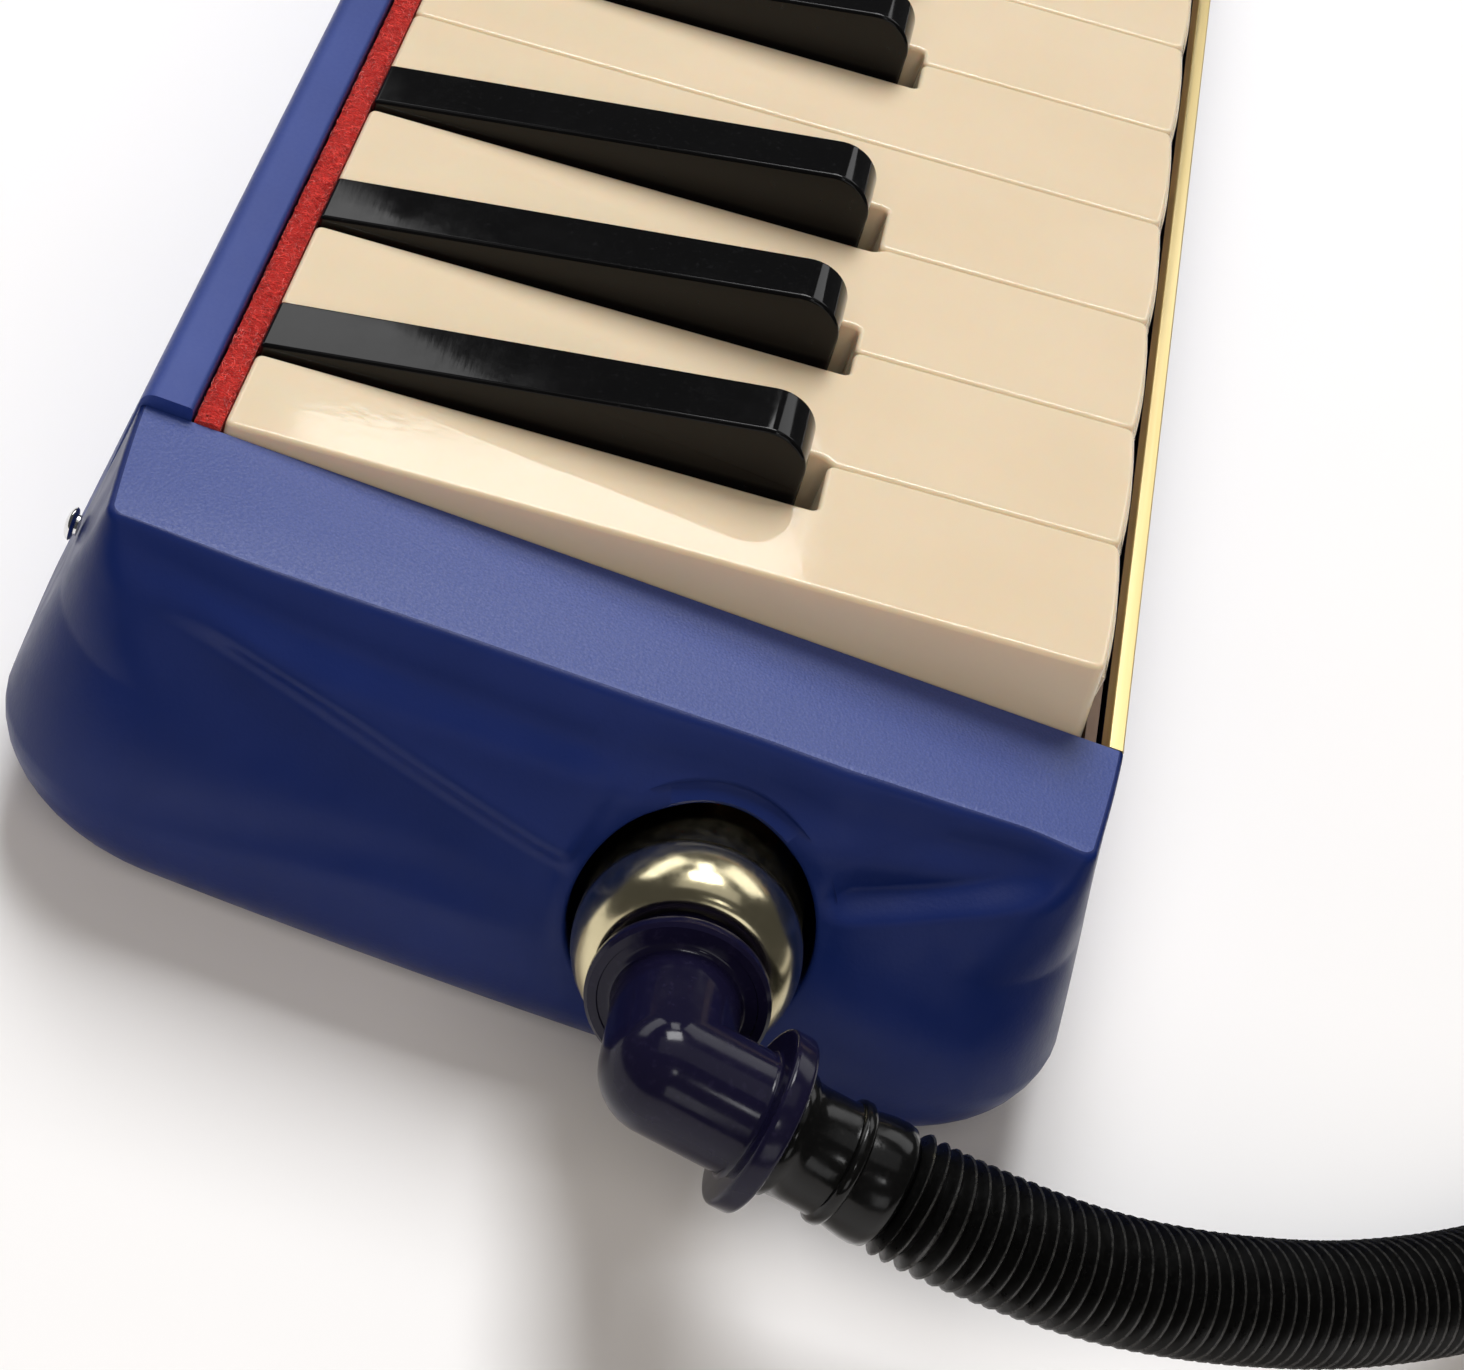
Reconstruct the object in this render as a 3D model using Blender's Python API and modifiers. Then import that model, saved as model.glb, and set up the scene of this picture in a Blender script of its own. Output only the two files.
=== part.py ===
"""Melodica: a 37-key mouth-blown keyboard with a push-in elbow, a corrugated
hose and a mouthpiece.

Frame: metres, +Z up, X along the keyboard with the bass end at -X, the player
and the key fronts toward -Y.  The body stands on Z = 0 and is centred on
X = Y = 0.
"""
import math

import bmesh
import bpy
from mathutils import Matrix, Vector

# ---- keyboard ---------------------------------------------------------------
WHITE_PITCH = 0.0192
WHITE_LETTERS = "FGABCDE"
WHITE_COUNT = 22
GROUP_START = {"F": "F", "G": "F", "A": "F", "C": "C", "D": "C"}
GROUP_WHITES = {"F": 4, "C": 3}
BLACK_SPACING = {"F": 0.0225, "C": 0.0220}
KEY_GAP = 0.0005
KEYBOARD_HALF = WHITE_COUNT * WHITE_PITCH / 2

# ---- body shell -------------------------------------------------------------
BODY_TOP = 0.0370
CAP_WALL = 0.0022
CASE_WALL = 0.0016
TRIM_WIDTH = 0.0017
COVER_SHEET = 0.0008
CLEAR = 0.0003
CAP_EDGE = KEYBOARD_HALF + CLEAR
BAND_WIDTH = 0.0157
END_BULGE = 0.0150
BOTTOM_RADIUS = 0.0125
TOP_HALF_FRONT = 0.0507
TOP_HALF_REAR = 0.0510
WIDEST_HALF = 0.0555
END_FOOT = 0.0105
END_BOW = 0.0020
END_BOW_CENTRE = -0.0100
FRONT_WALL_TOP = 0.0343
REAR_WALL_TOP = 0.0258
COVER_HEM = 0.0262
COVER_FRONT = 0.0460
COVER_LIP = 0.0352
COVER_BEND = 0.0015
COVER_BEND_Y = 0.0497
TRIM_ROUND = 0.0003
FELT_UNDER = 0.0346
FELT_TOP = 0.0376
FELT_GAP = 0.0006

# ---- keys -------------------------------------------------------------------
PIVOT_Y = 0.0280
PIVOT_Z = 0.0300
ROD_RADIUS = 0.00125
BORE_RADIUS = 0.00158
WHITE_FRONT = -0.0467
WHITE_FRONT_CROWN = 0.0005
WHITE_FRONT_LEAN = 0.14
WHITE_SLOT = -0.0144
KEY_REAR = 0.0429
WHITE_TOP_FRONT = 0.0461
WHITE_TOP_SLOPE = 0.090
KEY_SKIRT = 0.0333
KEY_WALL = 0.0016
KEY_ROOF = 0.0020
BLACK_WIDTH = 0.0078
BLACK_TOP_WIDTH = 0.0070
BLACK_GAP = 0.0003
BLACK_FRONT = -0.0127
BLACK_TOP_REAR = 0.0387
BLACK_TOP_SLOPE = 0.229
BLACK_NOSE_RADIUS = 0.0050
WEB_WIDTH = 0.0040
WEB_FRONT = 0.0120
TAIL_END = 0.0468
PAD_FRONT = 0.0402
PAD_SEAT = 0.0238

# ---- inside -----------------------------------------------------------------
DECK_TOP = 0.0235
DECK_THICK = 0.0020
BED_TOP = 0.0255
BED_THICK = 0.0017
BED_FRONT = -0.0487
BED_REAR = 0.0370
RAIL_WIDTH = 0.0012
RAIL_TOP = 0.0336
CHEST_X = 0.2050
CHEST_FRONT = 0.0060
CHEST_REAR = 0.0468
CHEST_FLOOR = 0.0026
CHEST_WALL = 0.0020
STOP_FELT_THICK = 0.0022
STOP_FELT_FRONT = -0.0462
STOP_FELT_REAR = -0.0370
DUCT_RADIUS = 0.0042
DUCT_END_Y = 0.0140
DUCT_END_Z = 0.0105

# ---- blow joint, elbow and hose ---------------------------------------------
JOINT_TILT = math.radians(15.0)
JOINT_POINT = Vector((-CAP_EDGE - 0.0260, -0.0150, 0.0210))
JOINT_AXIS = Vector((-math.cos(JOINT_TILT), 0.0, math.sin(JOINT_TILT)))
HOLE_RADIUS = 0.0119
COLLAR_RADIUS = 0.0110
COLLAR_BORE = 0.0078
COLLAR_SHOULDER = 0.0042
COLLAR_REACH = 0.0094
COLLAR_ROLL = 0.0028
COLLAR_BACK = -0.0130
ELBOW_DROOP = math.radians(10.5)
ELBOW_CORNER = 0.0240
ELBOW_RADIUS = 0.0060
ELBOW_RIM_RADIUS = 0.0087
ELBOW_RIM_AT = 0.0118
ELBOW_RIM_THICK = 0.0016
ELBOW_SHANK_RADIUS = 0.0072
ELBOW_SHANK_END = -0.0045
FLANGE_RADIUS = 0.0087
FLANGE_AT = 0.0086
FLANGE_THICK = 0.0024
CUFF_START = FLANGE_AT + FLANGE_THICK + CLEAR
CUFF_LENGTH = 0.0136
HOSE_DIAMETER = 0.0122
HOSE_START = CUFF_START + CUFF_LENGTH + CLEAR
HOSE_POINTS_COUNT = 30

# The hose's route after its first straight run, chosen by hand.
HOSE_ROUTE = [
    (-0.2607, -0.0557, 0.0196),
    (-0.2585, -0.0652, 0.0178),
    (-0.2546, -0.0759, 0.0158),
    (-0.2493, -0.0869, 0.0138),
    (-0.2413, -0.0994, 0.0116),
    (-0.2320, -0.1105, 0.0092),
    (-0.2205, -0.1212, 0.0075),
    (-0.2065, -0.1304, 0.0066),
    (-0.1905, -0.1368, 0.0064),
    (-0.1720, -0.1398, 0.0064),
    (-0.1380, -0.1404, 0.0064),
    (-0.0950, -0.1385, 0.0064),
    (-0.0500, -0.1365, 0.0064),
    (-0.0050, -0.1362, 0.0064),
    (0.0400, -0.1375, 0.0064),
    (0.0850, -0.1385, 0.0064),
    (0.1250, -0.1375, 0.0064),
    (0.1420, -0.1366, 0.0064),
]
MOUTHPIECE_LENGTH = 0.0560

# ---- right end: drain button and strap pins ---------------------------------
DRAIN_Y = 0.0200
DRAIN_Z = 0.0210
DRAIN_HEAD_RADIUS = 0.0052
DRAIN_STEM_RADIUS = 0.0020
DRAIN_FACE_X = 0.2456
STRAP_PIN_X = 0.2175
STRAP_PIN_Z = 0.0248

PARTS_NAME = "melodica"
CUTTERS_NAME = "melodica_cutters"


# ---- scene helpers ----------------------------------------------------------
def clear_scene():
    for obj in list(bpy.data.objects):
        bpy.data.objects.remove(obj, do_unlink=True)


def make_collection(name):
    collection = bpy.data.collections.new(name)
    bpy.context.scene.collection.children.link(collection)
    return collection


def material(name, colour, roughness, metallic=0.0):
    mat = bpy.data.materials.new(name)
    mat.use_nodes = True
    shader = mat.node_tree.nodes["Principled BSDF"]
    shader.inputs["Base Color"].default_value = (*colour, 1.0)
    shader.inputs["Roughness"].default_value = roughness
    shader.inputs["Metallic"].default_value = metallic
    mat.diffuse_color = (*colour, 1.0)
    return mat


def add_object(name, mesh, mat, collection):
    obj = bpy.data.objects.new(name, mesh)
    collection.objects.link(obj)
    if mat is not None and not mesh.materials:
        mesh.materials.append(mat)
    return obj


def mesh_from_bmesh(name, bm):
    bmesh.ops.recalc_face_normals(bm, faces=bm.faces)
    mesh = bpy.data.meshes.new(name)
    bm.to_mesh(mesh)
    bm.free()
    return mesh


def smooth(obj, angle=35.0):
    obj.data.shade_smooth()
    obj.data.set_sharp_from_angle(angle=math.radians(angle))


def hide_cutter(obj):
    obj.hide_render = True
    obj.display_type = "WIRE"


def boolean(obj, other, operation):
    mod = obj.modifiers.new(operation.lower(), "BOOLEAN")
    mod.operation = operation
    mod.solver = "EXACT"
    mod.object = other


def evaluated_mesh(obj, name):
    depsgraph = bpy.context.evaluated_depsgraph_get()
    mesh = bpy.data.meshes.new_from_object(obj.evaluated_get(depsgraph))
    mesh.name = name
    return mesh


def bake(obj, name, remove=()):
    """Apply the modifiers of a construction object and drop its helpers."""
    mesh = evaluated_mesh(obj, name)
    for helper in (obj, *remove):
        bpy.data.objects.remove(helper, do_unlink=True)
    return mesh


# ---- shape helpers ----------------------------------------------------------
def box_mesh(name, low, high):
    bm = bmesh.new()
    bmesh.ops.create_cube(bm, size=1.0)
    low, high = Vector(low), Vector(high)
    bmesh.ops.scale(bm, vec=high - low, verts=bm.verts)
    bmesh.ops.translate(bm, vec=(low + high) / 2, verts=bm.verts)
    return mesh_from_bmesh(name, bm)


def prism_mesh(name, outline, low, high, to_point):
    """Extrude a flat outline from low to high; to_point places (u, v, w)."""
    bm = bmesh.new()
    face = bm.faces.new([bm.verts.new(to_point(u, v, low)) for u, v in outline])
    extruded = bmesh.ops.extrude_face_region(bm, geom=[face])
    moved = [g for g in extruded["geom"] if isinstance(g, bmesh.types.BMVert)]
    shift = Vector(to_point(0, 0, high)) - Vector(to_point(0, 0, low))
    bmesh.ops.translate(bm, vec=shift, verts=moved)
    return mesh_from_bmesh(name, bm)


def along_x(y, z, x):
    return (x, y, z)


def along_z(x, y, z):
    return (x, y, z)


def cylinder_mesh(name, start, end, radius, segments=24):
    start, end = Vector(start), Vector(end)
    bm = bmesh.new()
    bmesh.ops.create_cone(bm, cap_ends=True, segments=segments, radius1=radius,
                          radius2=radius, depth=(end - start).length)
    turn = (end - start).to_track_quat("Z", "Y").to_matrix().to_4x4()
    place = Matrix.Translation((start + end) / 2) @ turn
    bmesh.ops.transform(bm, matrix=place, verts=bm.verts)
    return mesh_from_bmesh(name, bm)


def ball_mesh(name, centre, radius):
    bm = bmesh.new()
    bmesh.ops.create_uvsphere(bm, u_segments=24, v_segments=14, radius=radius)
    bmesh.ops.translate(bm, vec=centre, verts=bm.verts)
    return mesh_from_bmesh(name, bm)


def turned(name, profile, base, axis, mat, collection, steps=24, closed=True):
    """Turn a (radius, height) outline round an axis through base.

    The outline runs down its outer side.  A closed one makes a ring, an open
    one starts and ends on the axis and makes a solid.
    """
    bm = bmesh.new()
    verts = [bm.verts.new((radius, 0, height)) for radius, height in profile]
    following = verts[1:] + verts[:1] if closed else verts[1:]
    for a, b in zip(verts, following):
        bm.edges.new((a, b))
    mesh = bpy.data.meshes.new(name)
    bm.to_mesh(mesh)
    bm.free()
    obj = add_object(name, mesh, mat, collection)
    obj.location = base
    obj.rotation_euler = Vector(axis).to_track_quat("Z", "Y").to_euler()
    screw = obj.modifiers.new("turn", "SCREW")
    screw.steps = steps
    screw.render_steps = steps
    screw.use_merge_vertices = True
    screw.merge_threshold = 0.00001
    return obj


def arc(centre, radius, start, end, count):
    """Points on an arc, angles in degrees, both ends included."""
    points = []
    for step in range(count + 1):
        angle = math.radians(start + (end - start) * step / count)
        points.append((centre[0] + radius * math.cos(angle),
                       centre[1] + radius * math.sin(angle)))
    return points


def smooth_route(points, count):
    """Even points along a Catmull-Rom curve through the given points."""
    points = [Vector(p) for p in points]
    ends = [2 * points[0] - points[1], 2 * points[-1] - points[-2]]
    knots = [ends[0], *points, ends[1]]
    fine = []
    for a, b, c, d in zip(knots, knots[1:], knots[2:], knots[3:]):
        for step in range(24):
            t = step / 24
            fine.append(0.5 * (2 * b + (c - a) * t
                               + (2 * a - 5 * b + 4 * c - d) * t * t
                               + (3 * b - 3 * c + d - a) * t * t * t))
    fine.append(points[-1])
    lengths = [0.0]
    for a, b in zip(fine, fine[1:]):
        lengths.append(lengths[-1] + (b - a).length)
    even = []
    at = 0
    for step in range(count):
        target = lengths[-1] * step / (count - 1)
        while at < len(fine) - 2 and lengths[at + 1] < target:
            at += 1
        share = (target - lengths[at]) / (lengths[at + 1] - lengths[at])
        even.append(fine[at].lerp(fine[at + 1], min(max(share, 0.0), 1.0)))
    return even


def tube(name, points, radius, mat, collection, resolution=3):
    curve = bpy.data.curves.new(name, "CURVE")
    curve.dimensions = "3D"
    curve.bevel_depth = radius
    curve.bevel_resolution = resolution
    curve.use_fill_caps = True
    spline = curve.splines.new("POLY")
    spline.points.add(len(points) - 1)
    for place, point in zip(spline.points, points):
        place.co = (*point, 1.0)
    curve.materials.append(mat)
    obj = bpy.data.objects.new(name, curve)
    collection.objects.link(obj)
    return obj


# ---- body outline -----------------------------------------------------------
def wall_half(z, top_half):
    """Distance of a long wall from the middle plane at height z."""
    if z >= BOTTOM_RADIUS:
        share = (BODY_TOP - z) / (BODY_TOP - BOTTOM_RADIUS)
        return top_half + (WIDEST_HALF - top_half) * share ** 1.1
    drop = BOTTOM_RADIUS - z
    inset = BOTTOM_RADIUS - math.sqrt(BOTTOM_RADIUS ** 2 - drop ** 2)
    return WIDEST_HALF - inset


def end_reach(z):
    """How far the end face stands out from the inner edge of the cap."""
    if z >= END_FOOT:
        share = (BODY_TOP - z) / (BODY_TOP - END_FOOT)
        return BAND_WIDTH + END_BULGE * (1 - (1 - share) ** 1.9)
    drop = END_FOOT - z
    inset = END_FOOT - math.sqrt(END_FOOT ** 2 - drop ** 2)
    return BAND_WIDTH + END_BULGE - inset


def side_profile(front_top, rear_top):
    """Half-open outline of the long walls and the floor, front to rear."""
    levels = [BOTTOM_RADIUS * (1 - math.cos(math.radians(a))) for a in (0, 25, 45, 65, 90)]
    waist = BODY_TOP / 2.6
    front = [front_top, (front_top + waist) / 2, waist]
    rear = [rear_top, (rear_top + waist) / 2, waist]
    outline = [(-wall_half(z, TOP_HALF_FRONT), z) for z in front + levels[::-1]]
    outline += [(wall_half(z, TOP_HALF_REAR), z) for z in levels + rear[::-1]]
    return outline


def shell_mesh(name, outline, low_x, high_x):
    """A sheet with the given (y, z) section, normals outward."""
    bm = bmesh.new()
    rows = [[bm.verts.new((x, y, z)) for y, z in outline] for x in (low_x, high_x)]
    for (a, b), (c, d) in zip(zip(rows[0], rows[0][1:]), zip(rows[1], rows[1][1:])):
        bm.faces.new((a, b, d, c))
    mesh = bpy.data.meshes.new(name)
    bm.to_mesh(mesh)
    bm.free()
    return mesh


def solidify(obj, thickness):
    mod = obj.modifiers.new("thickness", "SOLIDIFY")
    mod.thickness = thickness
    mod.offset = -1.0
    mod.use_even_offset = True


def make_bottom_case(mat, parts):
    outline = side_profile(FRONT_WALL_TOP, REAR_WALL_TOP)
    length = CAP_EDGE - CLEAR
    obj = add_object("bottom_case", shell_mesh("bottom_case", outline, -length, length),
                     mat, parts)
    solidify(obj, CASE_WALL)


def make_top_cover(mat, parts):
    """Folded sheet strip behind the keys, hooked down over the rear wall."""
    top = FELT_TOP + 0.0009
    bend = arc((COVER_BEND_Y, top - COVER_BEND), COVER_BEND, 90, 10, 4)
    outline = [(COVER_FRONT, COVER_LIP), (COVER_FRONT, top), *bend]
    outline += [(wall_half(COVER_HEM, TOP_HALF_REAR), COVER_HEM)]
    outline.reverse()
    length = CAP_EDGE - CLEAR
    mesh = shell_mesh("top_cover", outline, -length, length)
    obj = add_object("top_cover", mesh, mat, parts)
    solidify(obj, COVER_SHEET)


def cap_level(z):
    """Plan outline of a cap at height z, x measured outward from its edge."""
    reach = end_reach(z)
    front = wall_half(z, TOP_HALF_FRONT)
    rear = wall_half(z, TOP_HALF_REAR)
    depth = min(1.0, (BODY_TOP - z) / 0.012)
    radius = 0.0012 + 0.0108 * depth + 0.0040 * (1 - z / BODY_TOP)
    taper = 0.0014 * (1 - 0.6 * depth)
    points = [(0.0, -front), (0.5 * (reach - radius), -front + 0.4 * taper)]
    points += [(x, y) for x, y in arc((reach - radius, -front + taper + radius),
                                      radius, -90, 0, 5)]
    for share in (0.25, 0.5, 0.75):
        low, high = -front + taper + radius, rear - taper - radius
        points.append((reach, low + (high - low) * share))
    points += arc((reach - radius, rear - taper - radius), radius, 0, 90, 5)
    points += [(0.5 * (reach - radius), rear - 0.4 * taper), (0.0, rear)]
    bow = END_BOW * (1 - z / BODY_TOP) ** 0.5 / (WIDEST_HALF ** 2)
    return [(x * (1 - bow * (y - END_BOW_CENTRE) ** 2 / reach), y) for x, y in points]


def make_cap_shell(name, side, mat, parts):
    """A cap is lofted level by level, then given its wall thickness."""
    top = [BODY_TOP, 0.0345, 0.0305, 0.0260, 0.0210, 0.0155]
    foot = [END_FOOT * (1 - math.sin(math.radians(a))) for a in (0, 25, 48, 70, 90)]
    bm = bmesh.new()
    rows = []
    for z in top + foot:
        rows.append([bm.verts.new((side * (CAP_EDGE + x), y, z)) for x, y in cap_level(z)])
    for upper, lower in zip(rows, rows[1:]):
        for a, b, c, d in zip(upper, upper[1:], lower[1:], lower):
            bm.faces.new((a, b, c, d))
    bm.faces.new(rows[0])
    bm.faces.new(rows[-1])
    obj = add_object(name, mesh_from_bmesh(name, bm), mat, parts)
    outward = max(obj.data.polygons, key=lambda p: side * p.center.x)
    if outward.normal.x * side < 0:
        obj.data.flip_normals()
    solidify(obj, CAP_WALL)
    return obj


def cut_with(obj, mesh, cutters):
    cutter = add_object(obj.name + "_" + mesh.name, mesh, None, cutters)
    hide_cutter(cutter)
    boolean(obj, cutter, "DIFFERENCE")


def strap_pin_point(side):
    return Vector((side * STRAP_PIN_X, wall_half(STRAP_PIN_Z, TOP_HALF_REAR), STRAP_PIN_Z))


def make_end_caps(mat, parts, cutters):
    left = make_cap_shell("left_end_cap", -1, mat, parts)
    start = JOINT_POINT - JOINT_AXIS * 0.012
    hole = cylinder_mesh("joint_hole", start, JOINT_POINT + JOINT_AXIS * 0.012,
                         HOLE_RADIUS, 32)
    cut_with(left, hole, cutters)
    right = make_cap_shell("right_end_cap", 1, mat, parts)
    hole = cylinder_mesh("drain_hole", (DRAIN_FACE_X - 0.012, DRAIN_Y, DRAIN_Z),
                         (DRAIN_FACE_X + 0.004, DRAIN_Y, DRAIN_Z),
                         DRAIN_HEAD_RADIUS + CLEAR, 24)
    cut_with(right, hole, cutters)


def make_front_trim(mat, parts):
    length = CAP_EDGE - CLEAR
    outer, inner = -TOP_HALF_FRONT, -TOP_HALF_FRONT + TRIM_WIDTH
    low, high, round_off = FRONT_WALL_TOP + CLEAR, BODY_TOP, TRIM_ROUND
    outline = [(outer, low), (inner, low), (inner, high - round_off),
               (inner - round_off, high), (outer + round_off, high),
               (outer, high - round_off)]
    mesh = prism_mesh("front_trim", outline, -length, length, along_x)
    add_object("front_trim", mesh, mat, parts)


def make_key_felt(mat, parts):
    """Felt strip that closes the slot between the key rears and the cover."""
    length = CAP_EDGE - CLEAR
    mesh = box_mesh("key_felt_strip", (-length, KEY_REAR + FELT_GAP, FELT_UNDER),
                    (length, COVER_FRONT - CLEAR, FELT_TOP))
    add_object("key_felt_strip", mesh, mat, parts)


def make_key_bed(mat, parts):
    """Chassis plate under the keys with a front rail."""
    length = CAP_EDGE - CLEAR
    low = BED_TOP - BED_THICK
    rail = BED_FRONT + RAIL_WIDTH
    outline = [(BED_FRONT, low), (BED_REAR, low), (BED_REAR, BED_TOP),
               (rail, BED_TOP), (rail, RAIL_TOP), (BED_FRONT, RAIL_TOP)]
    mesh = prism_mesh("key_bed", outline, -length, length, along_x)
    add_object("key_bed", mesh, mat, parts)


def make_stop_felt(mat, parts):
    length = CAP_EDGE - CLEAR
    low = BED_TOP + CLEAR
    mesh = box_mesh("key_stop_felt", (-length, STOP_FELT_FRONT, low),
                    (length, STOP_FELT_REAR, low + STOP_FELT_THICK))
    add_object("key_stop_felt", mesh, mat, parts)


def make_pivot_rod(mat, parts):
    mesh = cylinder_mesh("key_pivot_rod", (-CAP_EDGE - 0.003, PIVOT_Y, PIVOT_Z),
                         (CAP_EDGE + 0.003, PIVOT_Y, PIVOT_Z), ROD_RADIUS, 12)
    smooth(add_object("key_pivot_rod", mesh, mat, parts))


# ---- keys -------------------------------------------------------------------
def white_left(index):
    return -KEYBOARD_HALF + index * WHITE_PITCH


def letter_of(index):
    return WHITE_LETTERS[index % len(WHITE_LETTERS)]


def black_centre(index):
    """X of the black key that follows white key index, or None."""
    letter = letter_of(index)
    if letter not in GROUP_START or index == WHITE_COUNT - 1:
        return None
    first = GROUP_START[letter]
    place = WHITE_LETTERS.index(letter) - WHITE_LETTERS.index(first)
    whites = GROUP_WHITES[first]
    group_centre = white_left(index - place) + whites * WHITE_PITCH / 2
    return group_centre + (place - (whites - 2) / 2) * BLACK_SPACING[first]


def white_shape(index):
    """Edges of a white key about its own centre: sides and neck sides."""
    centre = white_left(index) + WHITE_PITCH / 2
    half = WHITE_PITCH / 2 - KEY_GAP / 2
    shape = {"left": -half, "right": half, "neck_left": -half, "neck_right": half}
    room = BLACK_WIDTH / 2 + BLACK_GAP
    before = black_centre(index - 1) if index else None
    after = black_centre(index)
    if before is not None:
        shape["neck_left"] = before + room - centre
    if after is not None:
        shape["neck_right"] = after - room - centre
    return shape


def white_outline(shape):
    """Plan outline of a white key, counter-clockwise seen from above."""
    corner = 0.0009
    left, right = shape["left"], shape["right"]
    points = []
    for step in range(5):
        share = step / 4
        crown = WHITE_FRONT_CROWN * 4 * share * (1 - share)
        x = left + corner + (right - left - 2 * corner) * share
        points.append((x, WHITE_FRONT - crown))
    points.append((right, WHITE_FRONT + corner))
    if shape["neck_right"] < right:
        points += [(right, WHITE_SLOT), (shape["neck_right"], WHITE_SLOT)]
    points += [(shape["neck_right"], KEY_REAR - corner),
               (shape["neck_right"] - corner, KEY_REAR),
               (shape["neck_left"] + corner, KEY_REAR),
               (shape["neck_left"], KEY_REAR - corner)]
    if shape["neck_left"] > left:
        points += [(shape["neck_left"], WHITE_SLOT), (left, WHITE_SLOT)]
    points.append((left, WHITE_FRONT + corner))
    return points


def white_top(y):
    return WHITE_TOP_FRONT - WHITE_TOP_SLOPE * (y - WHITE_FRONT)


def white_shell(shape):
    """Open-bottomed key top: raised outline, hollowed from below."""
    bm = bmesh.new()
    base = bm.faces.new([bm.verts.new((x, y, KEY_SKIRT)) for x, y in white_outline(shape)])
    if base.normal.z > 0:
        base.normal_flip()
    raised = bmesh.ops.extrude_face_region(bm, geom=[base], use_keep_orig=True)
    top_verts = [g for g in raised["geom"] if isinstance(g, bmesh.types.BMVert)]
    for vert in top_verts:
        vert.co.z = white_top(vert.co.y)
        lean = (vert.co.z - KEY_SKIRT) * WHITE_FRONT_LEAN
        if vert.co.y < WHITE_SLOT:
            vert.co.y += lean * (WHITE_SLOT - vert.co.y) / (WHITE_SLOT - WHITE_FRONT)
    bmesh.ops.recalc_face_normals(bm, faces=bm.faces)
    bm.faces.ensure_lookup_table()
    bottom = min(bm.faces, key=lambda f: f.calc_center_median().z)
    bmesh.ops.inset_region(bm, faces=[bottom], thickness=KEY_WALL, use_even_offset=True)
    hollow = bmesh.ops.extrude_discrete_faces(bm, faces=[bottom])["faces"][0]
    for vert in hollow.verts:
        vert.co.z = white_top(vert.co.y) - KEY_ROOF
    rim = [e for e in bm.edges if all(abs(v.co.z - white_top(v.co.y)) < 0.0004 for v in e.verts)]
    outer = [e for e in rim if len(e.link_faces) == 2 and e.calc_face_angle(0) > 1.0]
    bmesh.ops.bevel(bm, geom=outer, offset=0.0005, segments=1, affect="EDGES")
    return mesh_from_bmesh("white_shell", bm)


def web_outline():
    """Side view of the lever web: under the key top, round the rod, to the pad."""
    roof = 0.0010
    return [(WEB_FRONT, white_top(WEB_FRONT) - roof), (WEB_FRONT, 0.0352),
            (0.0225, 0.0305), (0.0245, 0.0266), (0.0315, 0.0266),
            (PAD_FRONT, 0.0285), (PAD_FRONT, PAD_SEAT), (TAIL_END, PAD_SEAT),
            (TAIL_END, 0.0320), (0.0420, 0.0320), (0.0420, white_top(0.0420) - roof)]


def web_mesh(centre):
    half = WEB_WIDTH / 2
    return prism_mesh("web", web_outline(), centre - half, centre + half, along_x)


def bore_mesh(centre):
    reach = WEB_WIDTH
    return cylinder_mesh("bore", (centre - reach, PIVOT_Y, PIVOT_Z),
                         (centre + reach, PIVOT_Y, PIVOT_Z), BORE_RADIUS, 12)


def finish_key(name, shell, centre, cutters):
    """Join the lever web to a key top, bore it, put the origin on the pivot."""
    body = add_object(name + "_top", shell, None, cutters)
    web = add_object(name + "_web", web_mesh(centre), None, cutters)
    bore = add_object(name + "_bore", bore_mesh(centre), None, cutters)
    boolean(body, web, "UNION")
    boolean(body, bore, "DIFFERENCE")
    mesh = bake(body, name, (web, bore))
    mesh.transform(Matrix.Translation((0, -PIVOT_Y, -PIVOT_Z)))
    return mesh


def black_shell():
    """Solid black key: side view extruded, then narrowed toward the top."""
    lean = 0.0008
    nose = BLACK_NOSE_RADIUS
    slope = math.atan(BLACK_TOP_SLOPE)
    centre_y = BLACK_FRONT + lean + nose
    top_at_centre = BLACK_TOP_REAR + BLACK_TOP_SLOPE * (KEY_REAR - centre_y)
    centre_z = top_at_centre - nose / math.cos(slope)
    round_nose = arc((centre_y, centre_z), nose, 180, 90 - math.degrees(slope), 5)
    outline = [(BLACK_FRONT, KEY_SKIRT), *round_nose,
               (KEY_REAR, BLACK_TOP_REAR), (KEY_REAR, KEY_SKIRT)]
    half = BLACK_WIDTH / 2
    mesh = prism_mesh("black_shell", outline, -half, half, along_x)
    bm = bmesh.new()
    bm.from_mesh(mesh)
    full = centre_z + nose - KEY_SKIRT
    for vert in bm.verts:
        share = (vert.co.z - KEY_SKIRT) / full
        vert.co.x *= 1 - (1 - BLACK_TOP_WIDTH / BLACK_WIDTH) * share
    edges = [e for e in bm.edges if e.calc_face_angle(0) > 1.0
             and min(v.co.z for v in e.verts) > KEY_SKIRT + 0.0005
             and abs(e.verts[0].co.x - e.verts[1].co.x) < 0.001]
    bmesh.ops.bevel(bm, geom=edges, offset=0.0004, segments=1, affect="EDGES")
    return mesh_from_bmesh("black_shell", bm)


def neck_centre(shape):
    return (shape["neck_left"] + shape["neck_right"]) / 2


def note_name(index, sharp):
    """Scientific name of a key: the lowest white key is F3."""
    letter = letter_of(index)
    octave = 3 + (index + 3) // 7
    return letter + ("s" if sharp else "") + str(octave)


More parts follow.
